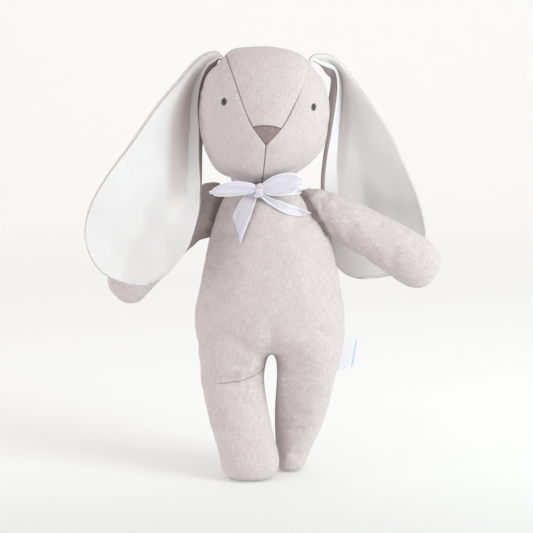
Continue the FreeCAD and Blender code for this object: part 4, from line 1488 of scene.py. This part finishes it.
def make_knot():
    """The knot: the ribbon wrapped once round itself, with its folds running aslant."""
    node_half = (KNOT_HIGH - KNOT_LOW) / 2
    half = node_half * KNOT_SIZE
    points, cloth = [], []
    for i in range(KNOT_ROWS):
        level = -math.cos(math.pi * (i + 0.5) / KNOT_ROWS)
        waist = (1 - abs(level) ** KNOT_POWER) ** (1 / KNOT_POWER)
        for turn in np.arange(KNOT_AROUND) * 2 * math.pi / KNOT_AROUND:
            folds = [size * math.sin(rises * level + rounds * turn) for size, rises, rounds in KNOT_FOLDS]
            reach = waist * (1 + sum(folds))
            across = half[0] * reach * math.cos(turn) + level * node_half[2] * KNOT_LEAN
            points.append(KNOT + Vector((across, half[1] * reach * math.sin(turn), level * half[2])))
            cloth.append((level * node_half[2], turn * node_half[0], 0))
    faces = tube_faces(KNOT_ROWS, KNOT_AROUND)
    finished(build("ribbon_knot_wrap", points, faces, RIBBON, cloth), "ribbon_knot", body="torso")


make_band()
make_knot()
LOOP_FRONT = KNOT.y - 0.4 * MM
RIBBON_ENDS = {
    "ribbon_loop_right": ("leaf", loop_grid(LOOP_RIGHT_UPPER, LOOP_RIGHT_LOWER, LOOP_FRONT, 2.6 * MM, 30)),
    "ribbon_loop_left": ("leaf", loop_grid(LOOP_LEFT_UPPER, LOOP_LEFT_LOWER, LOOP_FRONT, 2.8 * MM, 28)),
    "ribbon_tail_right": ("end", tail_grid(TAIL_RIGHT_OUTER, TAIL_RIGHT_INNER, 2.2 * MM, -2.6 * MM)),
    "ribbon_tail_left": ("end", tail_grid(TAIL_LEFT_UPPER, TAIL_LEFT_LOWER, 1.3 * MM, -2.4 * MM)),
}
for node, (part, grid) in RIBBON_ENDS.items():
    ribbon_piece(f"{node}_{part}", node, grid)

# ---------------------------------------------------------------- side label


LABEL_ROWS = 30
LABEL_LAYERS = 9
LABEL_CLOTH = 0.35 * MM
LABEL_GAP = 0.495 * MM
LABEL_BEND = 1.6 * MM
# The tape's corners as seen from the front, in the seam and at the fold.
LABEL_SEWN = [(60.0, 111.6), (54.0, 82.6)]
LABEL_FOLD = [(77.0, 111.2), (73.0, 89.2)]


def make_label():
    """A tape folded double, caught in the hip seam: both layers and the fold at its free edge."""
    low, high = node_box("side_label")
    middle = (low[1] + high[1]) / 2
    grid = []
    for v in edgewise(LABEL_ROWS):
        sewn, fold = (np.array((1 - v, v)) @ np.array(edge) * MM for edge in (LABEL_SEWN, LABEL_FOLD))
        row = []
        for u in np.linspace(-1, 1, LABEL_LAYERS * 2 + 1):
            reach = 1 - abs(u)
            apart = LABEL_GAP * math.copysign(min(1, abs(u) * 5), u)
            bend = LABEL_BEND * math.sin(v * 2.6 + 0.4) * reach**1.5
            x, z = sewn * (1 - reach) + fold * reach
            row.append((x, middle + apart - bend, z))
        grid.append(row)
    piece, (width, length, area) = slab("side_label_tape", np.array(grid), LABEL_CLOTH, TAPE)
    finished(piece, "side_label", body="torso")


make_label()
